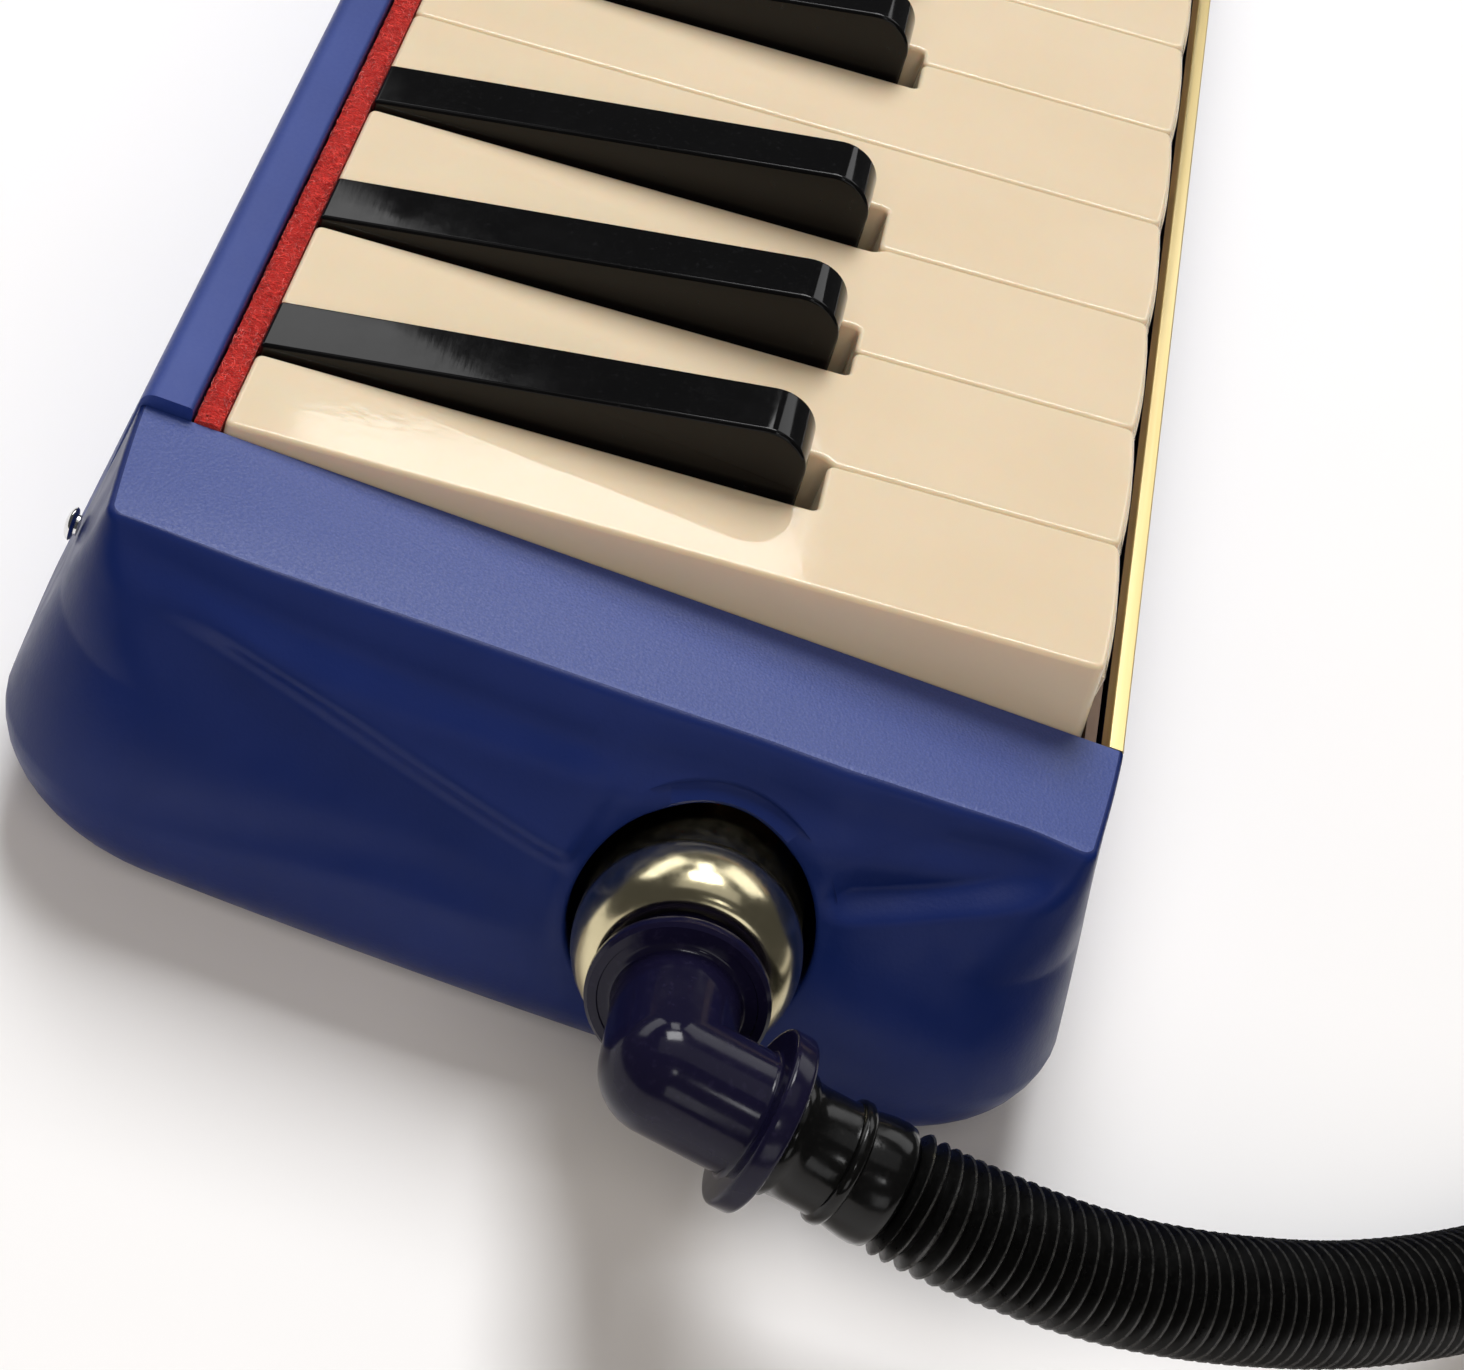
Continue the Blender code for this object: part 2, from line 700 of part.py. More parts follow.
def make_keys(ivory, ebony, parts, cutters):
    meshes = {}
    for index in range(WHITE_COUNT):
        shape = white_shape(index)
        kind = tuple(round(v, 6) for v in shape.values())
        if kind not in meshes:
            name = "white_key_" + letter_of(index)
            meshes[kind] = finish_key(name, white_shell(shape), neck_centre(shape), cutters)
        key = add_object("white_key_" + note_name(index, False), meshes[kind], ivory, parts)
        key.location = (white_left(index) + WHITE_PITCH / 2, PIVOT_Y, PIVOT_Z)
    black = finish_key("black_key", black_shell(), 0.0, cutters)
    for index in range(WHITE_COUNT):
        centre = black_centre(index)
        if centre is None:
            continue
        key = add_object("black_key_" + note_name(index, True), black, ebony, parts)
        key.location = (centre, PIVOT_Y, PIVOT_Z)


def key_centres():
    """X of every key's lever web, from the bass end up."""
    centres = []
    for index in range(WHITE_COUNT):
        middle = white_left(index) + WHITE_PITCH / 2
        centres.append(middle + neck_centre(white_shape(index)))
        black = black_centre(index)
        if black is not None:
            centres.append(black)
    return centres


# ---- inside -----------------------------------------------------------------
def make_spring_comb(mat, parts):
    """Flat spring strip with one finger under each key web."""
    low, thick = BED_TOP + CLEAR, 0.0006
    base_front, base_rear, tip = -0.0060, 0.0000, 0.0200
    half = 0.0012
    outline = [(-CHEST_X - 0.004, base_front), (CHEST_X + 0.004, base_front),
               (CHEST_X + 0.004, base_rear)]
    for centre in reversed(key_centres()):
        outline += [(centre + half, base_rear), (centre + half, tip),
                    (centre - half, tip), (centre - half, base_rear)]
    outline.append((-CHEST_X - 0.004, base_rear))
    mesh = prism_mesh("return_spring_comb", outline, low, low + thick, along_z)
    for vert in mesh.vertices:
        if vert.co.y > base_rear + 0.001:
            vert.co.z += 0.0040
    add_object("return_spring_comb", mesh, mat, parts)


def make_wind_chest(mat, parts, cutters):
    """Open-topped air box; its left wall has the inlet for the duct."""
    top = DECK_TOP - DECK_THICK - CLEAR
    bm = bmesh.new()
    bmesh.ops.create_cube(bm, size=1.0)
    low = Vector((-CHEST_X, CHEST_FRONT, CHEST_FLOOR))
    high = Vector((CHEST_X, CHEST_REAR, top))
    bmesh.ops.scale(bm, vec=high - low, verts=bm.verts)
    bmesh.ops.translate(bm, vec=(low + high) / 2, verts=bm.verts)
    lid = max(bm.faces, key=lambda f: f.calc_center_median().z)
    bmesh.ops.inset_region(bm, faces=[lid], thickness=CHEST_WALL)
    floor = bmesh.ops.extrude_discrete_faces(bm, faces=[lid])["faces"][0]
    for vert in floor.verts:
        vert.co.z = CHEST_FLOOR + CHEST_WALL
    chest = add_object("wind_chest", mesh_from_bmesh("wind_chest", bm), mat, parts)
    inlet = cylinder_mesh("inlet", (-CHEST_X - 0.002, DUCT_END_Y, DUCT_END_Z),
                          (-CHEST_X + 0.004, DUCT_END_Y, DUCT_END_Z), 0.0032, 16)
    cut_with(chest, inlet, cutters)


def make_air_duct(mat, parts):
    """Moulded duct from the blow socket to the chest's inlet."""
    start = JOINT_POINT - JOINT_AXIS * 0.0133
    lead = start - JOINT_AXIS * 0.0020
    end = Vector((-CHEST_X - CLEAR, DUCT_END_Y, DUCT_END_Z))
    middle = lead.lerp(end, 0.5) - Vector((0.0020, 0, 0))
    route = [start, lead, middle, end - Vector((0.0040, 0, 0)), end]
    tube("air_duct", [start, *smooth_route(route[1:-1], 9), end],
         DUCT_RADIUS, mat, parts, 2)


def make_valve_deck(mat, parts, cutters):
    """Plate on the chest with one outlet slot under each key pad."""
    deck = add_object("valve_deck", box_mesh(
        "valve_deck", (-CHEST_X, CHEST_FRONT, DECK_TOP - DECK_THICK),
        (CHEST_X, CHEST_REAR, DECK_TOP)), mat, parts)
    bm = bmesh.new()
    for centre in key_centres():
        box = bmesh.ops.create_cube(bm, size=1.0)["verts"]
        bmesh.ops.scale(bm, vec=(0.0028, 0.0044, 0.0060), verts=box)
        bmesh.ops.translate(bm, vec=(centre, 0.0435, DECK_TOP - DECK_THICK / 2), verts=box)
    cut_with(deck, mesh_from_bmesh("outlets", bm), cutters)


def reed_slot(bm, centre, length, low, high):
    """A U-shaped slot that leaves one reed tongue standing."""
    wide, gap, root = 0.0034, 0.0005, 0.0405
    outline = [(-wide / 2, root), (-wide / 2, root - length), (wide / 2, root - length),
               (wide / 2, root), (wide / 2 - gap, root), (wide / 2 - gap, root - length + gap),
               (-wide / 2 + gap, root - length + gap), (-wide / 2 + gap, root)]
    face = bm.faces.new([bm.verts.new((centre + x, y, low)) for x, y in outline])
    moved = bmesh.ops.extrude_face_region(bm, geom=[face], use_keep_orig=True)["geom"]
    verts = [g for g in moved if isinstance(g, bmesh.types.BMVert)]
    bmesh.ops.translate(bm, vec=(0, 0, high - low), verts=verts)


def make_reed_plates(mat, parts, cutters):
    """Two brass plates; the tongues get shorter toward the treble end."""
    centres = key_centres()
    split = 18
    low, high = 0.0196, 0.0208
    middle = (centres[split - 1] + centres[split]) / 2
    reach = CHEST_X - CHEST_WALL - CLEAR
    spans = {"reed_plate_low": (-reach, middle - CLEAR, range(0, split)),
             "reed_plate_high": (middle + CLEAR, reach, range(split, len(centres)))}
    for name, (left, right, notes) in spans.items():
        mesh = box_mesh(name, (left, CHEST_FRONT + CHEST_WALL + CLEAR, low),
                        (right, CHEST_REAR - CHEST_WALL - CLEAR, high))
        plate = add_object(name, mesh, mat, parts)
        bm = bmesh.new()
        for note in notes:
            length = 0.028 - 0.016 * note / (len(centres) - 1)
            reed_slot(bm, centres[note], length, low - 0.002, high + 0.002)
        cut_with(plate, mesh_from_bmesh(name + "_slots", bm), cutters)


# ---- blow joint, elbow, hose, mouthpiece ------------------------------------
def make_joint_socket(mat, parts):
    """Brass collar: a barrel whose mouth rolls over to an inner lip."""
    roll = []
    for angle in (105, 85, 65, 45, 25, 0, -25):
        turn = math.radians(angle)
        roll.append((COLLAR_RADIUS + COLLAR_ROLL * (math.cos(turn) - 1),
                     COLLAR_SHOULDER + (COLLAR_REACH - COLLAR_SHOULDER) * math.sin(turn)))
    lip = COLLAR_REACH - 0.0030
    profile = [(COLLAR_BORE, COLLAR_BACK), (COLLAR_BORE, lip), *roll,
               (roll[-1][0], COLLAR_BACK)]
    turned("joint_socket", profile, JOINT_POINT, JOINT_AXIS, mat, parts, 32)


def elbow_corner():
    return JOINT_POINT + JOINT_AXIS * ELBOW_CORNER


def hose_direction():
    """Out of the elbow: toward the player, drooping a little."""
    down = JOINT_AXIS.cross(Vector((0, -1, 0)))
    if down.z > 0:
        down.negate()
    return Vector((0, -1, 0)) * math.cos(ELBOW_DROOP) + down * math.sin(ELBOW_DROOP)


def make_elbow(mat, parts, cutters):
    """Plug, rim and mitred bend in one moulding, with its hose flange."""
    corner = elbow_corner()
    out = hose_direction()
    rim_start = JOINT_POINT + JOINT_AXIS * ELBOW_RIM_AT
    rim_end = rim_start + JOINT_AXIS * ELBOW_RIM_THICK
    shank = add_object("elbow", cylinder_mesh(
        "elbow", JOINT_POINT + JOINT_AXIS * ELBOW_SHANK_END,
        rim_start + JOINT_AXIS * ELBOW_RIM_THICK / 2, ELBOW_SHANK_RADIUS), mat, cutters)
    pieces = [
        cylinder_mesh("rim", rim_start, rim_end, ELBOW_RIM_RADIUS),
        cylinder_mesh("stem", rim_start + JOINT_AXIS * ELBOW_RIM_THICK / 2, corner, ELBOW_RADIUS),
        cylinder_mesh("branch", corner, corner + out * (FLANGE_AT + FLANGE_THICK / 2),
                      ELBOW_RADIUS),
        cylinder_mesh("flange", corner + out * FLANGE_AT,
                      corner + out * (FLANGE_AT + FLANGE_THICK), FLANGE_RADIUS),
        ball_mesh("bend", corner, ELBOW_RADIUS * 1.004),
    ]
    helpers = []
    for mesh in pieces:
        helper = add_object("elbow_" + mesh.name, mesh, None, cutters)
        boolean(shank, helper, "UNION")
        helpers.append(helper)
    mesh = bake(shank, "elbow", helpers)
    smooth(add_object("elbow", mesh, mat, parts))


def make_hose_cuff(mat, parts):
    """Rubber cuff with two raised rings between the flange and the hose."""
    profile = [(0.0036, 0.0), (0.0036, CUFF_LENGTH), (0.0060, CUFF_LENGTH),
               (0.0060, 0.0130), (0.0057, 0.0126), (0.0057, 0.0076), (0.0061, 0.0071),
               (0.0061, 0.0063), (0.0057, 0.0058), (0.0057, 0.0)]
    base = elbow_corner() + hose_direction() * CUFF_START
    turned("hose_cuff", profile, base, hose_direction(), mat, parts, 20)


def hose_route():
    start = elbow_corner() + hose_direction() * HOSE_START
    lead = start + hose_direction() * 0.0060
    return [start, lead, *(Vector(p) for p in HOSE_ROUTE)]


def make_hose(mat, parts):
    route = hose_route()
    tube("hose", [route[0], *smooth_route(route[1:], HOSE_POINTS_COUNT)],
         HOSE_DIAMETER / 2, mat, parts, 3)


def make_mouthpiece(mat, parts):
    """Tapered mouthpiece that lies on the floor at the hose's far end."""
    end = Vector(HOSE_ROUTE[-1])
    along = (end - Vector(HOSE_ROUTE[-2])).normalized()
    length = MOUTHPIECE_LENGTH
    profile = [(0.0018, 0.0), (0.0018, length), (0.0036, length),
               (0.0047, length - 0.0020), (0.0050, 0.0300), (0.0056, 0.0112),
               (0.0063, 0.0100), (0.0063, 0.0)]
    turned("mouthpiece", profile, end + along * CLEAR, along, mat, parts, 20)


# ---- right end --------------------------------------------------------------
def make_drain_button(mat, parts):
    """Push button of the drain valve; it slides toward the chest."""
    stem = DRAIN_FACE_X - CHEST_X - 0.0040
    profile = [(0.0, 0.0), (DRAIN_HEAD_RADIUS - 0.0010, 0.0), (DRAIN_HEAD_RADIUS, -0.0010),
               (DRAIN_HEAD_RADIUS, -0.0100), (DRAIN_STEM_RADIUS, -0.0100),
               (DRAIN_STEM_RADIUS, -stem), (0.0, -stem)]
    turned("drain_button", profile, (DRAIN_FACE_X, DRAIN_Y, DRAIN_Z), (1, 0, 0), mat,
           parts, 24, closed=False)


def make_strap_pins(mat, parts):
    profile = [(0.0, 0.0013), (0.0011, 0.0012), (0.0017, 0.0008), (0.0016, 0.0005),
               (0.0011, 0.0003), (0.0011, 0.0), (0.0, 0.0)]
    for name, side in (("strap_pin_left", -1), ("strap_pin_right", 1)):
        base = strap_pin_point(side) + Vector((0, CLEAR / 3, 0))
        turned(name, profile, base, (0, 1, 0), mat, parts, 16, closed=False)


def make_materials():
    return {
        "blue_plastic": material("blue_plastic", (0.035, 0.075, 0.29), 0.42),
        "blue_metal": material("blue_metal", (0.045, 0.095, 0.32), 0.38, 0.3),
        "ivory": material("ivory_plastic", (0.83, 0.72, 0.52), 0.18),
        "ebony": material("ebony_plastic", (0.008, 0.008, 0.009), 0.16),
        "gold": material("gold_metal", (0.78, 0.62, 0.25), 0.2, 1.0),
        "felt": material("red_felt", (0.42, 0.012, 0.015), 0.95),
        "brown": material("brown_plastic", (0.05, 0.025, 0.015), 0.5),
        "steel": material("spring_steel", (0.5, 0.5, 0.5), 0.3, 1.0),
        "chest": material("chest_plastic", (0.03, 0.03, 0.032), 0.5),
        "brass": material("brass", (0.72, 0.58, 0.28), 0.22, 1.0),
        "navy": material("navy_plastic", (0.012, 0.012, 0.055), 0.2),
        "rubber": material("black_rubber", (0.008, 0.008, 0.008), 0.45),
    }


def main():
    clear_scene()
    parts = make_collection(PARTS_NAME)
    cutters = make_collection(CUTTERS_NAME)
    mats = make_materials()
    make_bottom_case(mats["blue_plastic"], parts)
    make_top_cover(mats["blue_metal"], parts)
    make_end_caps(mats["blue_plastic"], parts, cutters)
    make_front_trim(mats["gold"], parts)
    make_key_felt(mats["felt"], parts)
    make_key_bed(mats["brown"], parts)
    make_stop_felt(mats["felt"], parts)
    make_pivot_rod(mats["steel"], parts)
    make_keys(mats["ivory"], mats["ebony"], parts, cutters)
    make_spring_comb(mats["steel"], parts)
    make_wind_chest(mats["chest"], parts, cutters)
    make_air_duct(mats["rubber"], parts)
    make_valve_deck(mats["chest"], parts, cutters)
    make_reed_plates(mats["brass"], parts, cutters)
    make_joint_socket(mats["brass"], parts)
    make_elbow(mats["navy"], parts, cutters)
    make_hose_cuff(mats["rubber"], parts)
    make_hose(mats["rubber"], parts)
    make_mouthpiece(mats["navy"], parts)
    make_drain_button(mats["chest"], parts)
    make_strap_pins(mats["steel"], parts)


main()
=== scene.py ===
"""Looks of the melodica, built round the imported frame.

Metres, +Z up.  X runs along the keyboard with the bass end at -X, and the key
fronts face -Y.  Every visible shape is a piece of its own that rides on a body
of the frame; the inner parts keep their frame shapes and get a finish.
"""
import random
from math import atan, cos, degrees, exp, hypot, pi, radians, sin, sqrt, tan

import bmesh
import bpy
from mathutils import Matrix, Vector


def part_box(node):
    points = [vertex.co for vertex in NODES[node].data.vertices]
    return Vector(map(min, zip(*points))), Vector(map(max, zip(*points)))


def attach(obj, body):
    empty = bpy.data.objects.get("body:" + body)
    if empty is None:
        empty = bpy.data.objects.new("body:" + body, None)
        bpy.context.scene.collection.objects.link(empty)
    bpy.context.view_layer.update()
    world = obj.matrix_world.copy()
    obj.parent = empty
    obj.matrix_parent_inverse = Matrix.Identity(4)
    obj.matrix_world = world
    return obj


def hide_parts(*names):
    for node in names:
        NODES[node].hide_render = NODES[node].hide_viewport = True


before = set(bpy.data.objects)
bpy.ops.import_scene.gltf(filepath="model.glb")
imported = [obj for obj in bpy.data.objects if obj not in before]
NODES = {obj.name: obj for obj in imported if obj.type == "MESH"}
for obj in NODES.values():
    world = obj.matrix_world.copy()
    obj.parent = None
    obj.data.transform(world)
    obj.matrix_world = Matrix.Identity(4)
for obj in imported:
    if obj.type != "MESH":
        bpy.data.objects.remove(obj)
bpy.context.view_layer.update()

# ---- camera ----
CAMERA_PLACE = Vector((-0.4420, 0.0156, 0.2451))
CAMERA_TARGET = Vector((-0.2135, -0.01203, 0.0300))
CAMERA_ROLL = radians(24.16)
CAMERA_LENS = 78.42
LIGHT_TARGET = Vector((-0.20, 0.0, 0.04))

# ---- sizes that the frame's boxes give ----
CAP_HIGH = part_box("left_end_cap")[1]
CASE_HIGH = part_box("bottom_case")[1]
COVER_LOW, COVER_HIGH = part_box("top_cover")
FELT_LOW, FELT_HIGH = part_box("key_felt_strip")
TRIM_LOW, TRIM_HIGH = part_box("front_trim")
CAP_EDGE = -CAP_HIGH.x
BODY_TOP = CAP_HIGH.z
STRIP_HALF = CASE_HIGH.x

# ---- end caps ----
CAP_WALL = 0.0022
CASE_WALL = 0.0016
COVER_WALL = 0.0008
BAND_WIDTH = 0.0157
END_BULGE = 0.0150
END_FOOT = 0.0105
END_BOW = 0.0020
END_BOW_CENTRE = -0.0100
BOTTOM_RADIUS = 0.0125
TOP_HALF_FRONT = 0.0507
TOP_HALF_REAR = 0.0510
WIDEST_HALF = 0.0555
EDGE_ROUND = 0.0005
HOLE_LIP = 0.0005
HOLE_DEPTH = 0.0030
HOLE_MARGIN = 0.0026

# ---- blow joint, elbow and hose ----
JOINT_TILT = radians(15.0)
JOINT_POINT = Vector((-CAP_EDGE - 0.0260, -0.0150, 0.0210))
JOINT_AXIS = Vector((-cos(JOINT_TILT), 0.0, sin(JOINT_TILT)))
HOLE_RADIUS = 0.0119
COLLAR_RADIUS = 0.0110
COLLAR_BORE = 0.0078
COLLAR_SHOULDER = 0.0042
COLLAR_REACH = 0.0094
COLLAR_ROLL = 0.0028
COLLAR_BACK = -0.0130
ELBOW_DROOP = radians(10.5)
ELBOW_CORNER = JOINT_POINT + JOINT_AXIS * 0.0240
ELBOW_RADIUS = 0.0060
ELBOW_SIDES = 80
RIM_RADIUS = 0.0087
RIM_AT = 0.0118
RIM_THICK = 0.0016
SHANK_RADIUS = 0.0072
SHANK_END = -0.0045
FLANGE_RADIUS = 0.0087
FLANGE_AT = 0.0086
FLANGE_THICK = 0.0024
CLEAR = 0.0003
CUFF_START = FLANGE_AT + FLANGE_THICK + CLEAR
CUFF_LENGTH = 0.0136
HOSE_START = CUFF_START + CUFF_LENGTH + CLEAR
HOSE_RADIUS = 0.0061
HOSE_ROOT = 0.0049
HOSE_PITCH = 0.00145
HOSE_INSET = 0.0014
HOSE_SIDES = 32
HOSE_ROUTE = [
    (-0.2607, -0.0557, 0.0196), (-0.2585, -0.0652, 0.0178), (-0.2546, -0.0759, 0.0158),
    (-0.2493, -0.0869, 0.0138), (-0.2413, -0.0994, 0.0116), (-0.2320, -0.1105, 0.0092),
    (-0.2205, -0.1212, 0.0075), (-0.2065, -0.1304, 0.0066), (-0.1905, -0.1368, 0.0064),
    (-0.1720, -0.1398, 0.0064), (-0.1380, -0.1404, 0.0064), (-0.0950, -0.1385, 0.0064),
    (-0.0500, -0.1365, 0.0064), (-0.0050, -0.1362, 0.0064), (0.0400, -0.1375, 0.0064),
    (0.0850, -0.1385, 0.0064), (0.1250, -0.1375, 0.0064), (0.1420, -0.1366, 0.0064),
]
MOUTHPIECE_LENGTH = 0.0560

# ---- right end ----
DRAIN_LOW, DRAIN_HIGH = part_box("drain_button")
DRAIN_CENTRE = (DRAIN_LOW + DRAIN_HIGH) / 2
DRAIN_FACE = Vector((DRAIN_HIGH.x, DRAIN_CENTRE.y, DRAIN_CENTRE.z))
DRAIN_RADIUS = (DRAIN_HIGH.y - DRAIN_LOW.y) / 2

# ---- keys ----
WHITE_FRONT = -0.0467
WHITE_FRONT_CROWN = 0.0005
WHITE_FRONT_LEAN = 0.14
WHITE_SLOT = -0.0144
KEY_REAR = 0.0429
WHITE_TOP_FRONT = 0.0461
WHITE_TOP_SLOPE = 0.090
KEY_SKIRT = 0.0333
KEY_WALL = 0.0012
KEY_ROOF = 0.0020
FELT_PUFF = 0.0004
FELT_DOME = 0.00030
FELT_LUMPS = 0.00010
FELT_FIBRES = 6000
FIBRE_RADIUS = 0.000055
FIBRE_HEIGHT = 0.0007
BLACK_WIDTH = 0.0078
BLACK_TOP_WIDTH = 0.0070
BLACK_GAP = 0.0003
WHITE_SPREAD = 0.00024
WHITE_EDGE = 0.00055
BLACK_EDGE = 0.00042
BLACK_FRONT = -0.0127
BLACK_TOP_REAR = 0.0387
BLACK_TOP_SLOPE = 0.229
BLACK_NOSE_RADIUS = 0.0044


# ---- mesh helpers ----
def new_object(name, data):
    obj = bpy.data.objects.new(name, data)
    bpy.context.scene.collection.objects.link(obj)
    return obj


def mesh_of(name, bm, angle):
    mesh = bpy.data.meshes.new(name)
    bm.to_mesh(mesh)
    bm.free()
    mesh.shade_smooth()
    mesh.set_sharp_from_angle(angle=radians(angle))
    return mesh


def add_piece(name, bm, angle, mat, body, slot, *nodes):
    """Put a piece on its body, with edges over an angle left sharp.

    Nodes are the frame's shapes that it stands for.
    """
    obj = new_object(name, mesh_of(name, bm, angle))
    obj.data.materials.append(mat)
    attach(obj, body)
    if nodes:
        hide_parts(*nodes)
    return obj


def arc(centre, radius, start, end, count):
    """Points on an arc, angles in degrees, both ends included."""
    points = []
    for step in range(count + 1):
        angle = radians(start + (end - start) * step / count)
        points.append((centre[0] + radius * cos(angle), centre[1] + radius * sin(angle)))
    return points


def oval(centre, across, up, wide, high, sides):
    """Points round a centre, from across toward up."""
    turns = [2 * pi * step / sides for step in range(sides)]
    return [centre + across * (wide * cos(t)) + up * (high * sin(t)) for t in turns]


def add_points(bm, points):
    return [bm.verts.new(p) for p in points]


def rails(bm, outline, *places):
    """A (y, z) outline as a row of points at each place along X."""
    return [add_points(bm, [(x, y, z) for y, z in outline]) for x in places]


def bridge(bm, rings, tube=True, loop=False):
    """Faces from ring to ring; a ring may be one point, loop joins the last to the first."""
    faces = []
    for ring, following in zip(rings, rings[1:] + (rings[:1] if loop else [])):
        count = max(len(ring), len(following))
        for a in range(count if tube else count - 1):
            b = (a + 1) % count
            corners = [ring[a % len(ring)], ring[b % len(ring)],
                       following[b % len(following)], following[a % len(following)]]
            faces.append(bm.faces.new(list(dict.fromkeys(corners))))
    return faces


def outward(bm):
    bmesh.ops.recalc_face_normals(bm, faces=bm.faces)


def turned(profile, base, axis, sides=64, closed=True):
    """Turn a (radius, height) outline round an axis."""
    axis = Vector(axis).normalized()
    turn = axis.to_track_quat("Z", "Y").to_matrix()
    bm = bmesh.new()
    rings = []
    for radius, height in profile:
        count = 1 if radius < 1e-7 else sides
        ring = oval(base + axis * height, turn.col[0], turn.col[1], radius, radius, count)
        rings.append(add_points(bm, ring))
    bridge(bm, rings, loop=closed)
    outward(bm)
    return bm


def smooth_route(points, count):
    """Even points along a Catmull-Rom curve through the given points."""
    points = [Vector(p) for p in points]
    knots = [2 * points[0] - points[1], *points, 2 * points[-1] - points[-2]]
    fine = []
    for a, b, c, d in zip(knots, knots[1:], knots[2:], knots[3:]):
        for step in range(24):
            t = step / 24
            fine.append(0.5 * (2 * b + (c - a) * t
                               + (2 * a - 5 * b + 4 * c - d) * t * t
                               + (3 * b - 3 * c + d - a) * t * t * t))
    fine.append(points[-1])
    lengths = [0.0]
    for a, b in zip(fine, fine[1:]):
        lengths.append(lengths[-1] + (b - a).length)
    even = []
    at = 0
    for step in range(count):
        target = lengths[-1] * step / (count - 1)
        while at < len(fine) - 2 and lengths[at + 1] < target:
            at += 1
        share = (target - lengths[at]) / (lengths[at + 1] - lengths[at])
        even.append(fine[at].lerp(fine[at + 1], min(max(share, 0.0), 1.0)))
    return even


def smoothstep(low, high, value):
    t = min(max((value - low) / (high - low), 0.0), 1.0)
    return t * t * (3 - 2 * t)


def bell(distance, width):
    return exp(-(distance / width) ** 2)


# ---- materials ----
CELLS = "cells"


class Finish:
    """A Principled material; its calls can be chained.

    A texture is (scale, detail, roughness, stretch, distortion) of a noise, or
    (scale, CELLS), over object coordinates: the row frame's metres at rest.
    """

    def __init__(self, name, colour, roughness, metallic=0.0, spec=0.5):
        self.mat = bpy.data.materials.new(name)
        self.mat.use_nodes = True
        self.mat.diffuse_color = (*colour, 1.0)
        self.tree = self.mat.node_tree
        self.shader = self.tree.nodes["Principled BSDF"]
        self.relief = None
        self.set(Base_Color=(*colour, 1.0), Roughness=roughness, Metallic=metallic,
                 Specular_IOR_Level=spec)

    def set(self, **values):
        for socket, value in values.items():
            self.shader.inputs[socket.replace("_", " ")].default_value = value
        return self

    def node(self, kind, socket=None, source=None, **values):
        """A node with a source on one socket and values on others."""
        made = self.tree.nodes.new(kind)
        for key, value in values.items():
            made.inputs[key.replace("_", " ")].default_value = value
        if source is not None:
            self.tree.links.new(source, made.inputs[socket])
        return made

    def feed(self, output, socket):
        self.tree.links.new(output, self.shader.inputs[socket])
        return self

    def texture(self, scale, detail, rough=0.5, stretch=(1.0, 1.0, 1.0), distort=0.0):
        coords = self.node("ShaderNodeTexCoord").outputs["Object"]
        place = self.node("ShaderNodeMapping", "Vector", coords, Scale=stretch).outputs["Vector"]
        if detail == CELLS:
            cells = self.node("ShaderNodeTexVoronoi", "Vector", place, Scale=scale)
            return cells.outputs["Distance"]
        return self.node("ShaderNodeTexNoise", "Vector", place, Scale=scale, Detail=detail,
                         Roughness=rough, Distortion=distort).outputs["Fac"]

    def tint(self, texture, *stops):
        """Colour stops along a texture; each is (place, colour)."""
        made = self.node("ShaderNodeValToRGB", "Fac", self.texture(*texture))
        elements = made.color_ramp.elements
        while len(elements) < len(stops):
            elements.new(0.5)
        for element, (place, colour) in zip(elements, stops):
            element.position = place
            element.color = (*colour, 1.0)
        return self.feed(made.outputs["Color"], "Base Color")

    def rough(self, texture, low, high):
        made = self.node("ShaderNodeMapRange", "Value", self.texture(*texture),
                         From_Min=0.35, From_Max=0.65, To_Min=low, To_Max=high)
        return self.feed(made.outputs["Result"], "Roughness")

    def bump(self, texture, distance, strength):
        """Stack a bump layer; distance is the relief's height in metres."""
        made = self.node("ShaderNodeBump", "Height", self.texture(*texture),
                         Strength=strength, Distance=distance)
        if self.relief is not None:
            self.tree.links.new(self.relief, made.inputs["Normal"])
        self.relief = made.outputs["Normal"]
        return self.feed(self.relief, "Normal")


def grey(value):
    return (value, value, value)


def plain_finish(name, colour, roughness, metallic=0.0, grain=1500, relief=0.00002):
    """Finish of a part that is seen little: its colour varies with a fine grain."""
    darker = tuple(c * 0.85 for c in colour)
    lighter = tuple(min(1.0, c * 1.15) for c in colour)
    fin = Finish(name, colour, roughness, metallic)
    fin.tint((grain / 8, 3), (0.3, darker), (0.7, lighter))
    fin.rough((grain / 4, 3), roughness * 0.85, min(1.0, roughness * 1.2))
    return fin.bump((grain, 2), relief, 0.5)


